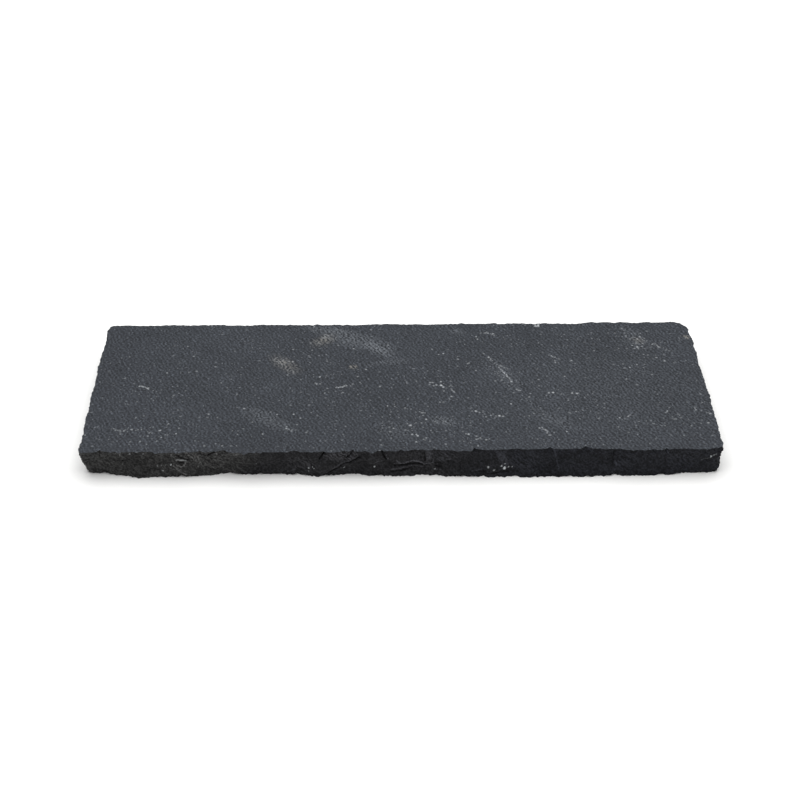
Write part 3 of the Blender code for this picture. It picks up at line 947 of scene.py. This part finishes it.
split_faces, face_steps = edge_faces()
top_faces = renumbered(top_triangles, COURSES * columns, edge_count)
bed_faces = renumbered(bed_triangles, 0, bed_middle.start)
bed_faces = [face[::-1] for face in bed_faces]

mesh = bpy.data.meshes.new("hewn_coping")
mesh.from_pydata(stone.tolist(), [], split_faces + top_faces + bed_faces)
finish_of_face = [SPLIT] * len(split_faces) + [TOP] * len(top_faces) + [BED] * len(bed_faces)
mesh.polygons.foreach_set("material_index", finish_of_face)
mesh.shade_smooth()
mesh.set_sharp_from_angle(angle=SHARP_FROM)
mesh.validate()
print(sum(len(p.vertices) - 2 for p in mesh.polygons), "triangles")

# %% Say where the pale ridges, the painted shade of slits and shades, and the crystals are
PALE_CREST = 0.12

side_of_step = {name: np.array([s == name for s in step_sides]) for name in SIDES}
pale = np.zeros(len(stone))
bruised = np.zeros(len(stone))
painted_shade = np.zeros(len(stone))
calcite = np.zeros(len(stone))

pale[:edge_count] = PALE_CREST * ripples(edge_points)[1]
for course in range(COURSES + 1):
    front = np.arange(course * columns, (course + 1) * columns)[side_of_step["front"]]
    along, height = torn(edge_points[front])
    for facet in FACETS:
        pale[front] = np.maximum(pale[front], facet.amount * on_patch(facet, along, height))
    for bruise in BRUISES:
        bruised[front] = np.maximum(bruised[front], bruise.amount * on_patch(bruise, along, height))
    # Painted shade: the shades and the slits go into one amount, which darkens the split finish towards near
    # black.
    for shade in SHADES:
        painted_shade[front] = np.maximum(painted_shade[front], shade.amount * on_patch(shade, along, height))
    for stroke in SWIRLS + RIDGES:
        pale[front] = np.maximum(pale[front], stroke.pale * on_stroke(stroke, along, height))
    for stroke in SLITS:
        painted_shade[front] = np.maximum(painted_shade[front], on_stroke(stroke, along, height))
    for stroke in CALCITE_VEINS:
        calcite[front] = np.maximum(calcite[front], stroke.pale * on_stroke(stroke, along, height))
    for crystal in CRYSTALS:
        calcite[front] = np.maximum(calcite[front], on_crystal(crystal, along, height))

calcite[top_middle] = calcite_at(top_inner)

at_points = {"pale": pale, "bruised": bruised, "painted_shade": painted_shade, "calcite": calcite}
for name, amounts in at_points.items():
    layer = mesh.attributes.new(name, "FLOAT", "POINT")
    layer.data.foreach_set("value", amounts)
print({name: int(np.count_nonzero(amounts)) for name, amounts in at_points.items()}, "points are marked")

# %% Lay out the map
SHEET = 0.93
GAP = 0.012
LONG_EDGE_SCALE = 2.0
END_SCALE = 1.35
BED_SCALE = 0.5
TOP_SCALE = 1.0


def map_places():
    """Each corner's place on the sheet, from 0 to 1."""
    plan = np.concatenate([outline] * (COURSES + 1) + [top_inner, bed_inner])
    drawn = np.zeros((len(mesh.loops), 2))
    split_count = len(split_faces)
    faces_of_split = np.arange(split_count)
    steps = np.array(face_steps)
    courses = np.repeat(np.arange(COURSES), columns)
    box_next = np.roll(box_plan, -1, axis=0)

    def put(faces, along, up, left, low, scale):
        starts = np.array([mesh.polygons[int(f)].loop_start for f in faces])
        loops = (starts[:, None] + np.arange(along.shape[1])).ravel()
        drawn[loops, 0] = left + (along.ravel() - along.min()) * scale / SHEET
        drawn[loops, 1] = low + up.ravel() * scale / SHEET

    def unroll(faces, axis, left, low, scale):
        start, end = box_plan[steps[faces], axis], box_next[steps[faces], axis]
        foot, head = levels[courses[faces]], levels[courses[faces] + 1]
        along = np.stack([start, end, end, start], axis=1)
        put(faces, along, np.stack([foot, foot, head, head], axis=1), left, low, scale)

    def lay_flat(faces, low, scale):
        corners = plan[np.array([list(mesh.polygons[int(f)].vertices) for f in faces])]
        put(faces, corners[..., 0], corners[..., 1] + WIDTH / 2, GAP, low, scale)

    bottom = GAP
    for name in ("front", "back"):
        for half in (-1, 1):
            middle = (box_plan[steps, 0] + box_next[steps, 0]) / 2
            on_half = side_of_step[name][steps] & (np.sign(middle) == half)
            unroll(faces_of_split[on_half], 0, GAP, bottom, LONG_EDGE_SCALE)
            bottom += LONG_EDGE_SCALE * THICKNESS / SHEET + GAP

    end_bottom = bottom
    for name in ("left", "right"):
        unroll(faces_of_split[side_of_step[name][steps]], 1, 0.5 + GAP, end_bottom, END_SCALE)
        end_bottom += END_SCALE * THICKNESS / SHEET + GAP

    first_of_bed = split_count + len(top_faces)
    lay_flat(np.arange(first_of_bed, first_of_bed + len(bed_faces)), bottom, BED_SCALE)
    bottom += BED_SCALE * WIDTH / SHEET + GAP
    lay_flat(np.arange(split_count, first_of_bed), bottom, TOP_SCALE)
    print("the map fills the sheet up to", round(bottom + TOP_SCALE * WIDTH / SHEET, 3))
    return drawn


layer = mesh.uv_layers.new(name="OFBake")
layer.data.foreach_set("uv", map_places().ravel())

# %% Place the stone
coping = bpy.data.objects.new("hewn_coping", mesh)
bpy.context.scene.collection.objects.link(coping)
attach(coping, "root")
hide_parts("coping_slab")
print(coping.name, "is in place, with", len(mesh.vertices), "points")

# %% [markdown]
# ## Helpers for the finishes
#
# Colours are written as the hex values that a colour picker shows, and one function turns them into the
# linear values that a shader needs. One more adds any node with its settings and its inputs. Inputs are
# named, or are given in the order of the node's sockets. Each is either a value or the node that feeds it,
# so a finish reads from top to bottom like a recipe. A map range is given its value, the two ends of the
# range that comes in, and the two that go out, which are 0 and 1 where none are given.

# %% Colour and node helpers


def colour(hex_value):
    """A linear colour with alpha from an sRGB hex value such as #494C51."""
    channels = [int(hex_value[i : i + 2], 16) / 255 for i in (1, 3, 5)]
    linear = [c / 12.92 if c <= 0.04045 else ((c + 0.055) / 1.055) ** 2.4 for c in channels]
    return (*linear, 1.0)


def connect(tree, node, inputs):
    """Sets each input to a value, or links it to the first output that another node shows."""
    for socket, value in inputs.items() if isinstance(inputs, dict) else enumerate(inputs):
        if isinstance(value, bpy.types.Node):
            value = next(output for output in value.outputs if output.enabled)
        if isinstance(value, bpy.types.NodeSocket):
            tree.links.new(value, node.inputs[socket])
        else:
            node.inputs[socket].default_value = value


def add(tree, kind, inputs=(), **settings):
    """Adds a node with its settings and its inputs."""
    node = tree.nodes.new("ShaderNode" + kind)
    for name, value in settings.items():
        setattr(node, name, value)
    connect(tree, node, inputs)
    return node


def per_mm(size):
    """The scale that makes a texture's features this many millimetres wide."""
    return 1 / (size * MM)


def wave_scale(spacing):
    """The scale that sets a wave texture's bands this many millimetres apart."""
    return per_mm(spacing) * math.pi / 10


def new_material(name):
    """A material with its node tree and its shader."""
    material = bpy.data.materials.new(name)
    material.use_nodes = True
    return material, material.node_tree, material.node_tree.nodes["Principled BSDF"]


print("mid grey, #808080, is", round(colour("#808080")[0], 3), "of full white in linear light")

# %% [markdown]
# ## Brushed top
#
# Black limestone is lime mud with fine carbon in it. Split along its bed and brushed with wire, the face
# goes from black to a slate grey, because thousands of tiny facets scatter the light. The brush leaves
# short strokes that all lean one way, and the softer bits of calcite show as pale specks, veins and hazy
# patches, with a little iron staining.
#
# A picture of stone tiled over the top would repeat and would not meet the arrises. So the finish is
# procedural. Bent waves give the brushing, noise the grain, and scattered cells the smallest specks.
# Hazes, stains and the places where specks crowd are soft ovals placed one by one, and the veins and the
# larger grains of calcite come from the mesh.
#
# Real strokes are under a millimetre apart and the grain of the mud is finer still. Neither would show
# from where a wall is looked at, so the strokes are drawn 5.6 mm apart and the grain 3.2 mm wide. Stone is
# no metal, 1.5 is the usual IOR for it, and a face broken up by a brush is very rough, at 0.8.

# %% Where the hazes, stains and specks are
Mark = namedtuple("Mark", "x y half_length half_width turn strength")

HAZES_AND_PAINTED_LIGHT = (
    Mark(-66, 112, 80, 26, -24, 0.75),
    Mark(-30, 88, 38, 15, -42, 0.75),
    Mark(-112, 139, 50, 12, -12, 0.5),
    Mark(-18, 56, 50, 9, 8, 0.45),
    Mark(-190, -76, 56, 20, -32, 0.6),
    Mark(61, -84, 26, 13, -15, 0.7),
    Mark(358, 127, 30, 16, -40, 0.3),
    Mark(90, 134, 20, 10, -30, 0.6),
    Mark(222, -84, 46, 18, -35, 0.4),
    Mark(156, 22, 52, 17, -62, 0.32),
    Mark(365, 100, 30, 20, -40, 0.3),
    Mark(-8, -105, 40, 24, -30, 0.3),
    # Painted light: this widest and faintest haze brightens the whole right part of the top, as stronger
    # light from the right would.
    Mark(330, -30, 260, 210, 0, 0.14),
)
STAINS = (
    Mark(-171, 52, 36, 17, -42, 0.4),
    Mark(-116, 112, 28, 17, 35, 0.4),
    Mark(-70, 46, 9, 7, 0, 0.7),
    Mark(442, 113, 9, 6, -30, 0.8),
    Mark(366, 107, 14, 11, -40, 0.3),
)
SPECKLED = (
    Mark(40, -90, 120, 60, -25, 0.3),
    Mark(150, 20, 90, 35, -60, 0.3),
    Mark(-90, -10, 60, 40, 0, 0.25),
    Mark(-370, -100, 80, 40, -5, 0.3),
    Mark(-365, -10, 50, 30, -20, 0.25),
    Mark(250, -40, 120, 30, -5, 0.2),
    Mark(370, 95, 60, 50, -30, 0.25),
    Mark(150, 120, 70, 30, -10, 0.2),
    Mark(-140, 80, 80, 60, -30, 0.25),
    Mark(350, -90, 90, 40, -5, 0.15),
)
print(len(HAZES_AND_PAINTED_LIGHT), "hazes,", len(STAINS), "stains and", len(SPECKLED), "places where specks crowd")

# %% Soft ovals, broken lines and specks
PRESSURE_SIZE = 11
LINE_BEND = 7.0
SPECK_SIZES = (0.6, 1.2)
LEAST_WHITE = 0.05
DRAWN_WHITE = 0.13
CROWDED_WHITE = 0.16


def marked(tree, places, marks):
    """Sums soft ovals: each is its strength in its middle and 0 at its rim."""
    total = 0.0
    for mark in marks:
        laid = {
            "Vector": places,
            "Location": (mark.x * MM, mark.y * MM, THICKNESS),
            "Rotation": (0, 0, math.radians(mark.turn)),
            "Scale": (mark.half_length * MM, mark.half_width * MM, 1.0),
        }
        oval = add(tree, "Mapping", laid, vector_type="TEXTURE")
        inside = add(tree, "TexGradient", {"Vector": oval}, gradient_type="SPHERICAL")
        inputs = (inside.outputs["Fac"], mark.strength, total)
        total = add(tree, "Math", inputs, operation="MULTIPLY_ADD")
    return total


def broken_lines(tree, places, spacing, turn):
    """Lines this many millimetres apart that come and go, turned by degrees from the slab's length."""
    turned = {"Vector": places, "Rotation": (0, 0, math.radians(turn + 90))}
    across = add(tree, "Mapping", turned, vector_type="TEXTURE")
    bands = {
        "Vector": across,
        "Scale": wave_scale(spacing),
        "Distortion": LINE_BEND,
        "Detail": 1.0,
        "Detail Scale": 2.2,
    }
    wires = add(tree, "TexWave", bands)
    line = add(tree, "Math", (wires.outputs["Fac"], -0.5), operation="ADD")
    pressed = add(tree, "TexNoise", {"Vector": places, "Scale": per_mm(PRESSURE_SIZE), "Detail": 1.0})
    pressure = add(tree, "MapRange", (pressed, 0.3, 0.7, 0.25, 1.0))
    return add(tree, "Math", (line, pressure), operation="MULTIPLY")


def specks(tree, places, spacing, radius, crowding, chance):
    """Scattered grains, each in its own cell: more of them and paler ones where they crowd."""
    cell = {"Vector": places, "Scale": per_mm(spacing)}
    cells = add(tree, "TexVoronoi", cell, voronoi_dimensions="2D")
    drawn = add(tree, "SeparateXYZ", (cells.outputs["Color"],))
    odds = add(tree, "Math", (drawn.outputs["X"], crowding), operation="ADD")
    chosen = add(tree, "MapRange", (odds, 1 - chance, 1.02 - chance))

    smallest, largest = (share * radius / spacing for share in SPECK_SIZES)
    reach = add(tree, "MapRange", (drawn.outputs["Y"], 0.0, 1.0, smallest, largest))
    from_rim = add(tree, "Math", (reach, cells.outputs["Distance"]), operation="SUBTRACT")
    inside = add(tree, "MapRange", (from_rim, 0.0, smallest))

    own = add(tree, "Math", (drawn.outputs["Z"], DRAWN_WHITE), operation="MULTIPLY")
    crowded = add(tree, "Math", (crowding, CROWDED_WHITE), operation="MULTIPLY")
    strength = add(tree, "Math", (own, crowded), operation="ADD")
    strength = add(tree, "Math", (strength, LEAST_WHITE), operation="ADD")
    shown = add(tree, "Math", (chosen, inside), operation="MULTIPLY")
    return add(tree, "Math", (shown, strength), operation="MULTIPLY")


print("a wave's bands", 10, "mm apart need a scale of", round(wave_scale(10), 2))

# %% Make the brushed finish
BRUSHED = "#313439"
HAZE_AND_PAINTED_LIGHT = "#6C7075"
IRON_STAIN = "#8C8880"
CALCITE = "#C9CDD0"
BRUSHED_CONTRAST = 2.6
STROKE_SHARE = 0.95
CROSSING_SHARE = 0.5
GRAIN_SHARE = 1.7
CLOUD_SHARE = 0.5
BRUSHED_GRAIN = 3.2
CLOUD_SIZE = 70
WIRE_SPACING = 5.6
STROKE_TURNS = (-60, 60)
HAZE_BEND = 12 * MM
HAZE_BEND_SIZE = 14
RAGGED_BY = 3 * MM
RAGGED_SIZE = 4
SPECK_SPACING = 13
SPECK_RADIUS = 1.9
SPECK_CHANCE = 0.25
CRUMB_SPACING = 6
CRUMB_RADIUS = 1.3
CRUMB_CHANCE = 0.09
STONE_IOR = 1.5


def brushed_tone(tree, places):
    """Strokes that lean one way, weaker ones that cross them, and grain, round 0."""
    strokes = broken_lines(tree, places, WIRE_SPACING, STROKE_TURNS[0])
    crossing = broken_lines(tree, places, WIRE_SPACING, STROKE_TURNS[1])
    grain = add(tree, "TexNoise", {"Vector": places, "Scale": per_mm(BRUSHED_GRAIN), "Detail": 1.0})
    grain = add(tree, "Math", (grain, -0.5), operation="ADD")
    strokes = add(tree, "Math", (strokes, STROKE_SHARE), operation="MULTIPLY")
    crossing = add(tree, "Math", (crossing, CROSSING_SHARE), operation="MULTIPLY")
    grain = add(tree, "Math", (grain, GRAIN_SHARE), operation="MULTIPLY")
    tone = add(tree, "Math", (strokes, crossing), operation="ADD")
    return add(tree, "Math", (tone, grain), operation="ADD")


def brushed_top():
    """Slate grey and dull: the brush has broken the surface up, so it hardly shines."""
    material, tree, shader = new_material("black_limestone_brushed")
    places = add(tree, "TexCoord").outputs["Object"]

    tone = brushed_tone(tree, places)
    clouds = add(tree, "TexNoise", {"Vector": places, "Scale": per_mm(CLOUD_SIZE), "Detail": 3.0})
    clouds = add(tree, "Math", (clouds, -0.5), operation="ADD")
    clouds = add(tree, "Math", (clouds, CLOUD_SHARE), operation="MULTIPLY")
    clouded = add(tree, "Math", (tone, clouds), operation="ADD")
    shade = add(tree, "Math", (BRUSHED_CONTRAST, clouded), operation="POWER")
    slate = {0: colour(BRUSHED)[:3], "Scale": shade}
    base = add(tree, "VectorMath", slate, operation="SCALE")

    # The ovals are bent by noise before they are drawn, so that they look grown and not stamped.
    bend = add(tree, "TexNoise", {"Vector": places, "Scale": per_mm(HAZE_BEND_SIZE), "Detail": 3.0})
    bending = (bend.outputs["Color"], (HAZE_BEND, HAZE_BEND, 0.0), places)
    bent = add(tree, "VectorMath", bending, operation="MULTIPLY_ADD")
    half_bend = (HAZE_BEND / 2, HAZE_BEND / 2, 0.0)
    bent = add(tree, "VectorMath", (bent, half_bend), operation="SUBTRACT")
    # Most hazes are pale calcite. The widest one is painted light that lightens the right of the top.
    hazy = add(tree, "MapRange", (tone, -0.4, 0.5, 0.0, 0.8))
    haze_and_painted_light = add(tree, "Math", (marked(tree, bent, HAZES_AND_PAINTED_LIGHT), hazy), operation="MULTIPLY")
    base = add(tree, "Mix", {0: haze_and_painted_light, 6: base, 7: colour(HAZE_AND_PAINTED_LIGHT)}, data_type="RGBA")

    around = marked(tree, bent, SPECKLED)
    rag = add(tree, "TexNoise", {"Vector": places, "Scale": per_mm(RAGGED_SIZE), "Detail": 1.0})
    ragging = (rag.outputs["Color"], (RAGGED_BY, RAGGED_BY, 0.0), places)
    ragged = add(tree, "VectorMath", ragging, operation="MULTIPLY_ADD")
    wide = specks(tree, ragged, SPECK_SPACING, SPECK_RADIUS, around, SPECK_CHANCE)
    close = specks(tree, ragged, CRUMB_SPACING, CRUMB_RADIUS, around, CRUMB_CHANCE)
    specked = add(tree, "Math", (wide, close), operation="ADD")
    base = add(tree, "Mix", {0: specked, 6: base, 7: colour(CALCITE)}, data_type="RGBA")

    calcite = add(tree, "Attribute", attribute_name="calcite").outputs["Fac"]
    brushed = add(tree, "MapRange", (tone, -0.4, 0.5, 0.7, 1.2))
    uneven = add(tree, "Math", (calcite, brushed), operation="MULTIPLY")
    base = add(tree, "Mix", {0: uneven, 6: base, 7: colour(CALCITE)}, data_type="RGBA")
    soaked = add(tree, "MapRange", (tone, -0.3, 0.5, 0.0, 1.2))
    stain = add(tree, "Math", (marked(tree, bent, STAINS), soaked), operation="MULTIPLY")
    base = add(tree, "Mix", {0: stain, 6: base, 7: colour(IRON_STAIN)}, data_type="RGBA")

    relief = add(tree, "Bump", {"Strength": 0.4, "Distance": 0.2 * MM, "Height": tone})
    dull = {"Roughness": 0.8, "IOR": STONE_IOR, "Specular IOR Level": 0.2}
    connect(tree, shader, {"Base Color": base, "Normal": relief, **dull})
    return material


top_finish = brushed_top()
print(top_finish.name, "has", len(top_finish.node_tree.nodes), "nodes")

# %% [markdown]
# ## Split edges
#
# A fresh break in the same stone stays nearly black. It is made of small hollows that catch the light
# again before it gets out, and there is no brushing to whiten it. Crests that the chisel crushed are
# lighter. The low places of the grain, the slits and the shades are painted darker still, towards near
# black, which is painted shade. The break crosses three layers of the bed along the slab: grey at
# the left end, darker from about a quarter of the way, and a touch bluer on the right.
#
# Fine slanting lines, which masons call hackles, run away from each blow. Like the grain, they are really
# a fraction of a millimetre wide, and are drawn as coarse as they need to be to show.

# %% Make the split finish
LAYER_GREY = "#2A2A2A"
LAYER_DARK = "#1D1D1F"
LAYER_BLUE = "#18191D"
DARK_FROM = -0.27
DARK_BLEND = 0.08
BLUE_FROM = 0.04
BLUE_BLEND = 0.12
DRIFT_SIZE = 80
PAINTED_SHADE_BLACK = "#060607"
SPLIT_GRAIN = 2.6
CRUMB_SIZE = 8
HACKLE_SPACING = 5.0
HACKLE_TURN = -48
FINE_SHARE = 0.7
COARSE_SHARE = 0.3
HACKLE_SHARE = 0.1
CRUSHED_GAIN = 6.0
FULL_MARK = 0.85


def unrolled(tree, places):
    """Places on the edges laid out flat: along the slab's rim, and up."""
    part = add(tree, "SeparateXYZ", (places,))
    along = add(tree, "Math", (part.outputs["X"], part.outputs["Y"]), operation="ADD")
    return add(tree, "CombineXYZ", {"X": along, "Y": part.outputs["Z"]})


def layered(tree, places):
    """The colour of the layer that each place lies in."""
    across = add(tree, "SeparateXYZ", (places,)).outputs["X"]
    drift = add(tree, "TexNoise", {"Vector": places, "Scale": per_mm(DRIFT_SIZE)})
    drift = add(tree, "MapRange", (drift, 0.2, 0.8, -0.06, 0.06))
    layer = add(tree, "Math", (across, drift), operation="ADD")
    dark = add(tree, "MapRange", (layer, DARK_FROM, DARK_FROM + DARK_BLEND))
    blue = add(tree, "MapRange", (layer, BLUE_FROM, BLUE_FROM + BLUE_BLEND))
    base = add(tree, "Mix", {0: dark, 6: colour(LAYER_GREY), 7: colour(LAYER_DARK)}, data_type="RGBA")
    return add(tree, "Mix", {0: blue, 6: base, 7: colour(LAYER_BLUE)}, data_type="RGBA")


def split_edge():
    """Near black and dull, with sparkle only where a facet happens to be flat."""
    material, tree, shader = new_material("black_limestone_split")
    places = add(tree, "TexCoord").outputs["Object"]
    base = layered(tree, places)

    grain = {"Vector": places, "Scale": per_mm(SPLIT_GRAIN), "Detail": 2.0, "Roughness": 0.65}
    grain = add(tree, "TexNoise", grain)
    crumbs = add(tree, "TexNoise", {"Vector": places, "Scale": per_mm(CRUMB_SIZE), "Detail": 2.0})
    hackles = broken_lines(tree, unrolled(tree, places), HACKLE_SPACING, HACKLE_TURN)
    fine = add(tree, "Math", (grain, FINE_SHARE), operation="MULTIPLY")
    coarse = add(tree, "Math", (crumbs, COARSE_SHARE), operation="MULTIPLY")
    slanting = add(tree, "Math", (hackles, HACKLE_SHARE), operation="MULTIPLY")
    tone = add(tree, "Math", (fine, coarse), operation="ADD")
    tone = add(tree, "Math", (tone, slanting), operation="ADD")

    crushed = add(tree, "VectorMath", {0: base, "Scale": CRUSHED_GAIN}, operation="SCALE")
    crests = add(tree, "MapRange", (tone, 0.47, 0.69, 0.0, 0.42))
    base = add(tree, "Mix", {0: crests, 6: base, 7: crushed}, data_type="RGBA")
    # Painted shade: the low places of the grain, the same ones that the bump sinks, are darkened towards near
    # black.
    painted_hollow_shade = add(tree, "MapRange", (tone, 0.5, 0.32, 0.0, 0.8))
    base = add(tree, "Mix", {0: painted_hollow_shade, 6: base, 7: colour(PAINTED_SHADE_BLACK)}, data_type="RGBA")

    pale = add(tree, "Attribute", attribute_name="pale").outputs["Fac"]
    broken = add(tree, "MapRange", (tone, 0.35, 0.6, 0.15, 1.3))
    pale = add(tree, "Math", (pale, broken), operation="MULTIPLY")
    base = add(tree, "Mix", {0: pale, 6: base, 7: crushed}, data_type="RGBA")

    bruised = add(tree, "Attribute", attribute_name="bruised").outputs["Fac"]
    scratch = add(tree, "Math", (grain, 0.5), operation="MULTIPLY")
    scratch = add(tree, "Math", (hackles, scratch), operation="ADD")
    struck = add(tree, "MapRange", (scratch, 0.1, 0.6, 0.0, 2.4))
    bruised = add(tree, "Math", (bruised, struck), operation="MULTIPLY")
    base = add(tree, "Mix", {0: bruised, 6: base, 7: crushed}, data_type="RGBA")

    # Painted shade: slits and shades are painted towards near black here. Calcite is the stone's own white.
    for name, tint in (("painted_shade", PAINTED_SHADE_BLACK), ("calcite", CALCITE)):
        amount = add(tree, "Attribute", attribute_name=name).outputs["Fac"]
        amount = add(tree, "Math", (amount, FULL_MARK), operation="MULTIPLY")
        base = add(tree, "Mix", {0: amount, 6: base, 7: colour(tint)}, data_type="RGBA")

    relief = add(tree, "Bump", {"Strength": 0.6, "Distance": 0.6 * MM, "Height": tone})
    dull = {"Roughness": 0.8, "IOR": STONE_IOR, "Specular IOR Level": 0.15}
    connect(tree, shader, {"Base Color": base, "Normal": relief, **dull})
    return material


edge_finish = split_edge()
print(edge_finish.name, "has", len(edge_finish.node_tree.nodes), "nodes")

# %% [markdown]
# ## Ground bed
#
# The underside was ground so that every slab in the order is equally thick. A grinding head leaves faint
# parallel passes, a few centimetres wide, in an even mid grey. Nobody sees it on a wall, so it has only
# those passes and a grain, which is drawn coarse like the others. Ground stone is a little less rough.

# %% Make the ground finish
GROUND_DARK = "#3A3D40"
GROUND_PALE = "#4E5155"
PASS_WIDTH = 34
PASS_SHARE = 0.3
GROUND_GRAIN = 2.4


def ground_bed():
    """Even grey with faint passes of the grinding head along the slab."""
    material, tree, shader = new_material("black_limestone_ground")
    places = add(tree, "TexCoord").outputs["Object"]
    bands = {"Vector": places, "Scale": wave_scale(PASS_WIDTH), "Distortion": 0.6, "Detail": 1.0}
    passes = add(tree, "TexWave", bands, bands_direction="Y")
    grain = {"Vector": places, "Scale": per_mm(GROUND_GRAIN), "Detail": 2.0, "Roughness": 0.6}
    grain = add(tree, "TexNoise", grain)
    passes = add(tree, "Math", (passes.outputs["Fac"], PASS_SHARE), operation="MULTIPLY")
    fine = add(tree, "Math", (grain, 1 - PASS_SHARE), operation="MULTIPLY")
    tone = add(tree, "Math", (passes, fine), operation="ADD")
    pale = add(tree, "MapRange", (tone, 0.3, 0.8))
    base = add(tree, "Mix", {0: pale, 6: colour(GROUND_DARK), 7: colour(GROUND_PALE)}, data_type="RGBA")

    relief = add(tree, "Bump", {"Strength": 0.3, "Distance": 0.2 * MM, "Height": tone})
    satin = {"Roughness": 0.65, "IOR": STONE_IOR, "Specular IOR Level": 0.3}
    connect(tree, shader, {"Base Color": base, "Normal": relief, **satin})
    return material


bed_finish = ground_bed()
print(bed_finish.name, "has", len(bed_finish.node_tree.nodes), "nodes")
for finish in (top_finish, edge_finish, bed_finish):
    mesh.materials.append(finish)

# %% [markdown]
# ## Floor, light and camera
#
# The stone lies on a plain white board that runs past the edges of the view. One very large soft light
# hangs over it, and the white air all round adds a little. The faces that look up take most of the light,
# and the front edge gets mainly what the board throws back, which is why it reads so much darker than the
# top.

# %% Floor
BOARD_SIZE = 30.0
BOARD_WHITE = "#F1F1F0"

board_mesh = bpy.data.meshes.new("white_board")
board_signs = ((-1, -1), (1, -1), (1, 1), (-1, 1))
board_corners = [(x * BOARD_SIZE / 2, y * BOARD_SIZE / 2, 0.0) for x, y in board_signs]
board_mesh.from_pydata(board_corners, [], [(0, 1, 2, 3)])
board = bpy.data.objects.new("white_board", board_mesh)
bpy.context.scene.collection.objects.link(board)
board_finish, _, board_shader = new_material("white_painted_board")
board_shader.inputs["Base Color"].default_value = colour(BOARD_WHITE)
board_shader.inputs["Roughness"].default_value = 0.9
board_shader.inputs["Specular IOR Level"].default_value = 0.1
board_mesh.materials.append(board_finish)
print("a board", BOARD_SIZE, "m wide")

# %% Light
KEY_SIZE = (4.5, 3.5)
KEY_PLACE = (0, 0.5, 2.6)
KEY_POWER = 145
AIR_STRENGTH = 0.25

lamp = bpy.data.lights.new("overhead_softbox", "AREA")
lamp.shape = "RECTANGLE"
lamp.size, lamp.size_y = KEY_SIZE
lamp.energy = KEY_POWER
overhead = bpy.data.objects.new("overhead_softbox", lamp)
overhead.location = KEY_PLACE
bpy.context.scene.collection.objects.link(overhead)

world = bpy.data.worlds.new("studio_air")
world.use_nodes = True
air = world.node_tree.nodes["Background"]
air.inputs["Color"].default_value = (1, 1, 1, 1)
air.inputs["Strength"].default_value = AIR_STRENGTH
bpy.context.scene.world = world
bpy.context.scene.view_settings.view_transform = "Standard"
print("a softbox of", KEY_SIZE, "m,", KEY_PLACE[2], "m up, with", KEY_POWER, "W")

# %% Camera
CAMERA_ELEVATION = math.radians(38.92)
CAMERA_YAW = math.radians(-0.70)
CAMERA_DISTANCE = 2.038
CAMERA_LENS = 63.135
SENSOR_WIDTH = 36
LOOKED_AT = Vector((-0.0003, -0.0353, THICKNESS))

level, climb = math.cos(CAMERA_ELEVATION), math.sin(CAMERA_ELEVATION)
back = Vector((math.sin(CAMERA_YAW) * level, -math.cos(CAMERA_YAW) * level, climb))
right = Vector((math.cos(CAMERA_YAW), math.sin(CAMERA_YAW), 0))
up = back.cross(right)
eye = LOOKED_AT + back * CAMERA_DISTANCE
lens = bpy.data.cameras.new("camera")
lens.lens = CAMERA_LENS
lens.sensor_width = SENSOR_WIDTH
camera = bpy.data.objects.new("camera", lens)
turned = Matrix((right, up, back)).transposed().to_4x4()
camera.matrix_world = Matrix.Translation(eye) @ turned
bpy.context.scene.collection.objects.link(camera)
bpy.context.scene.camera = camera
print("camera at", [round(c, 3) for c in eye])
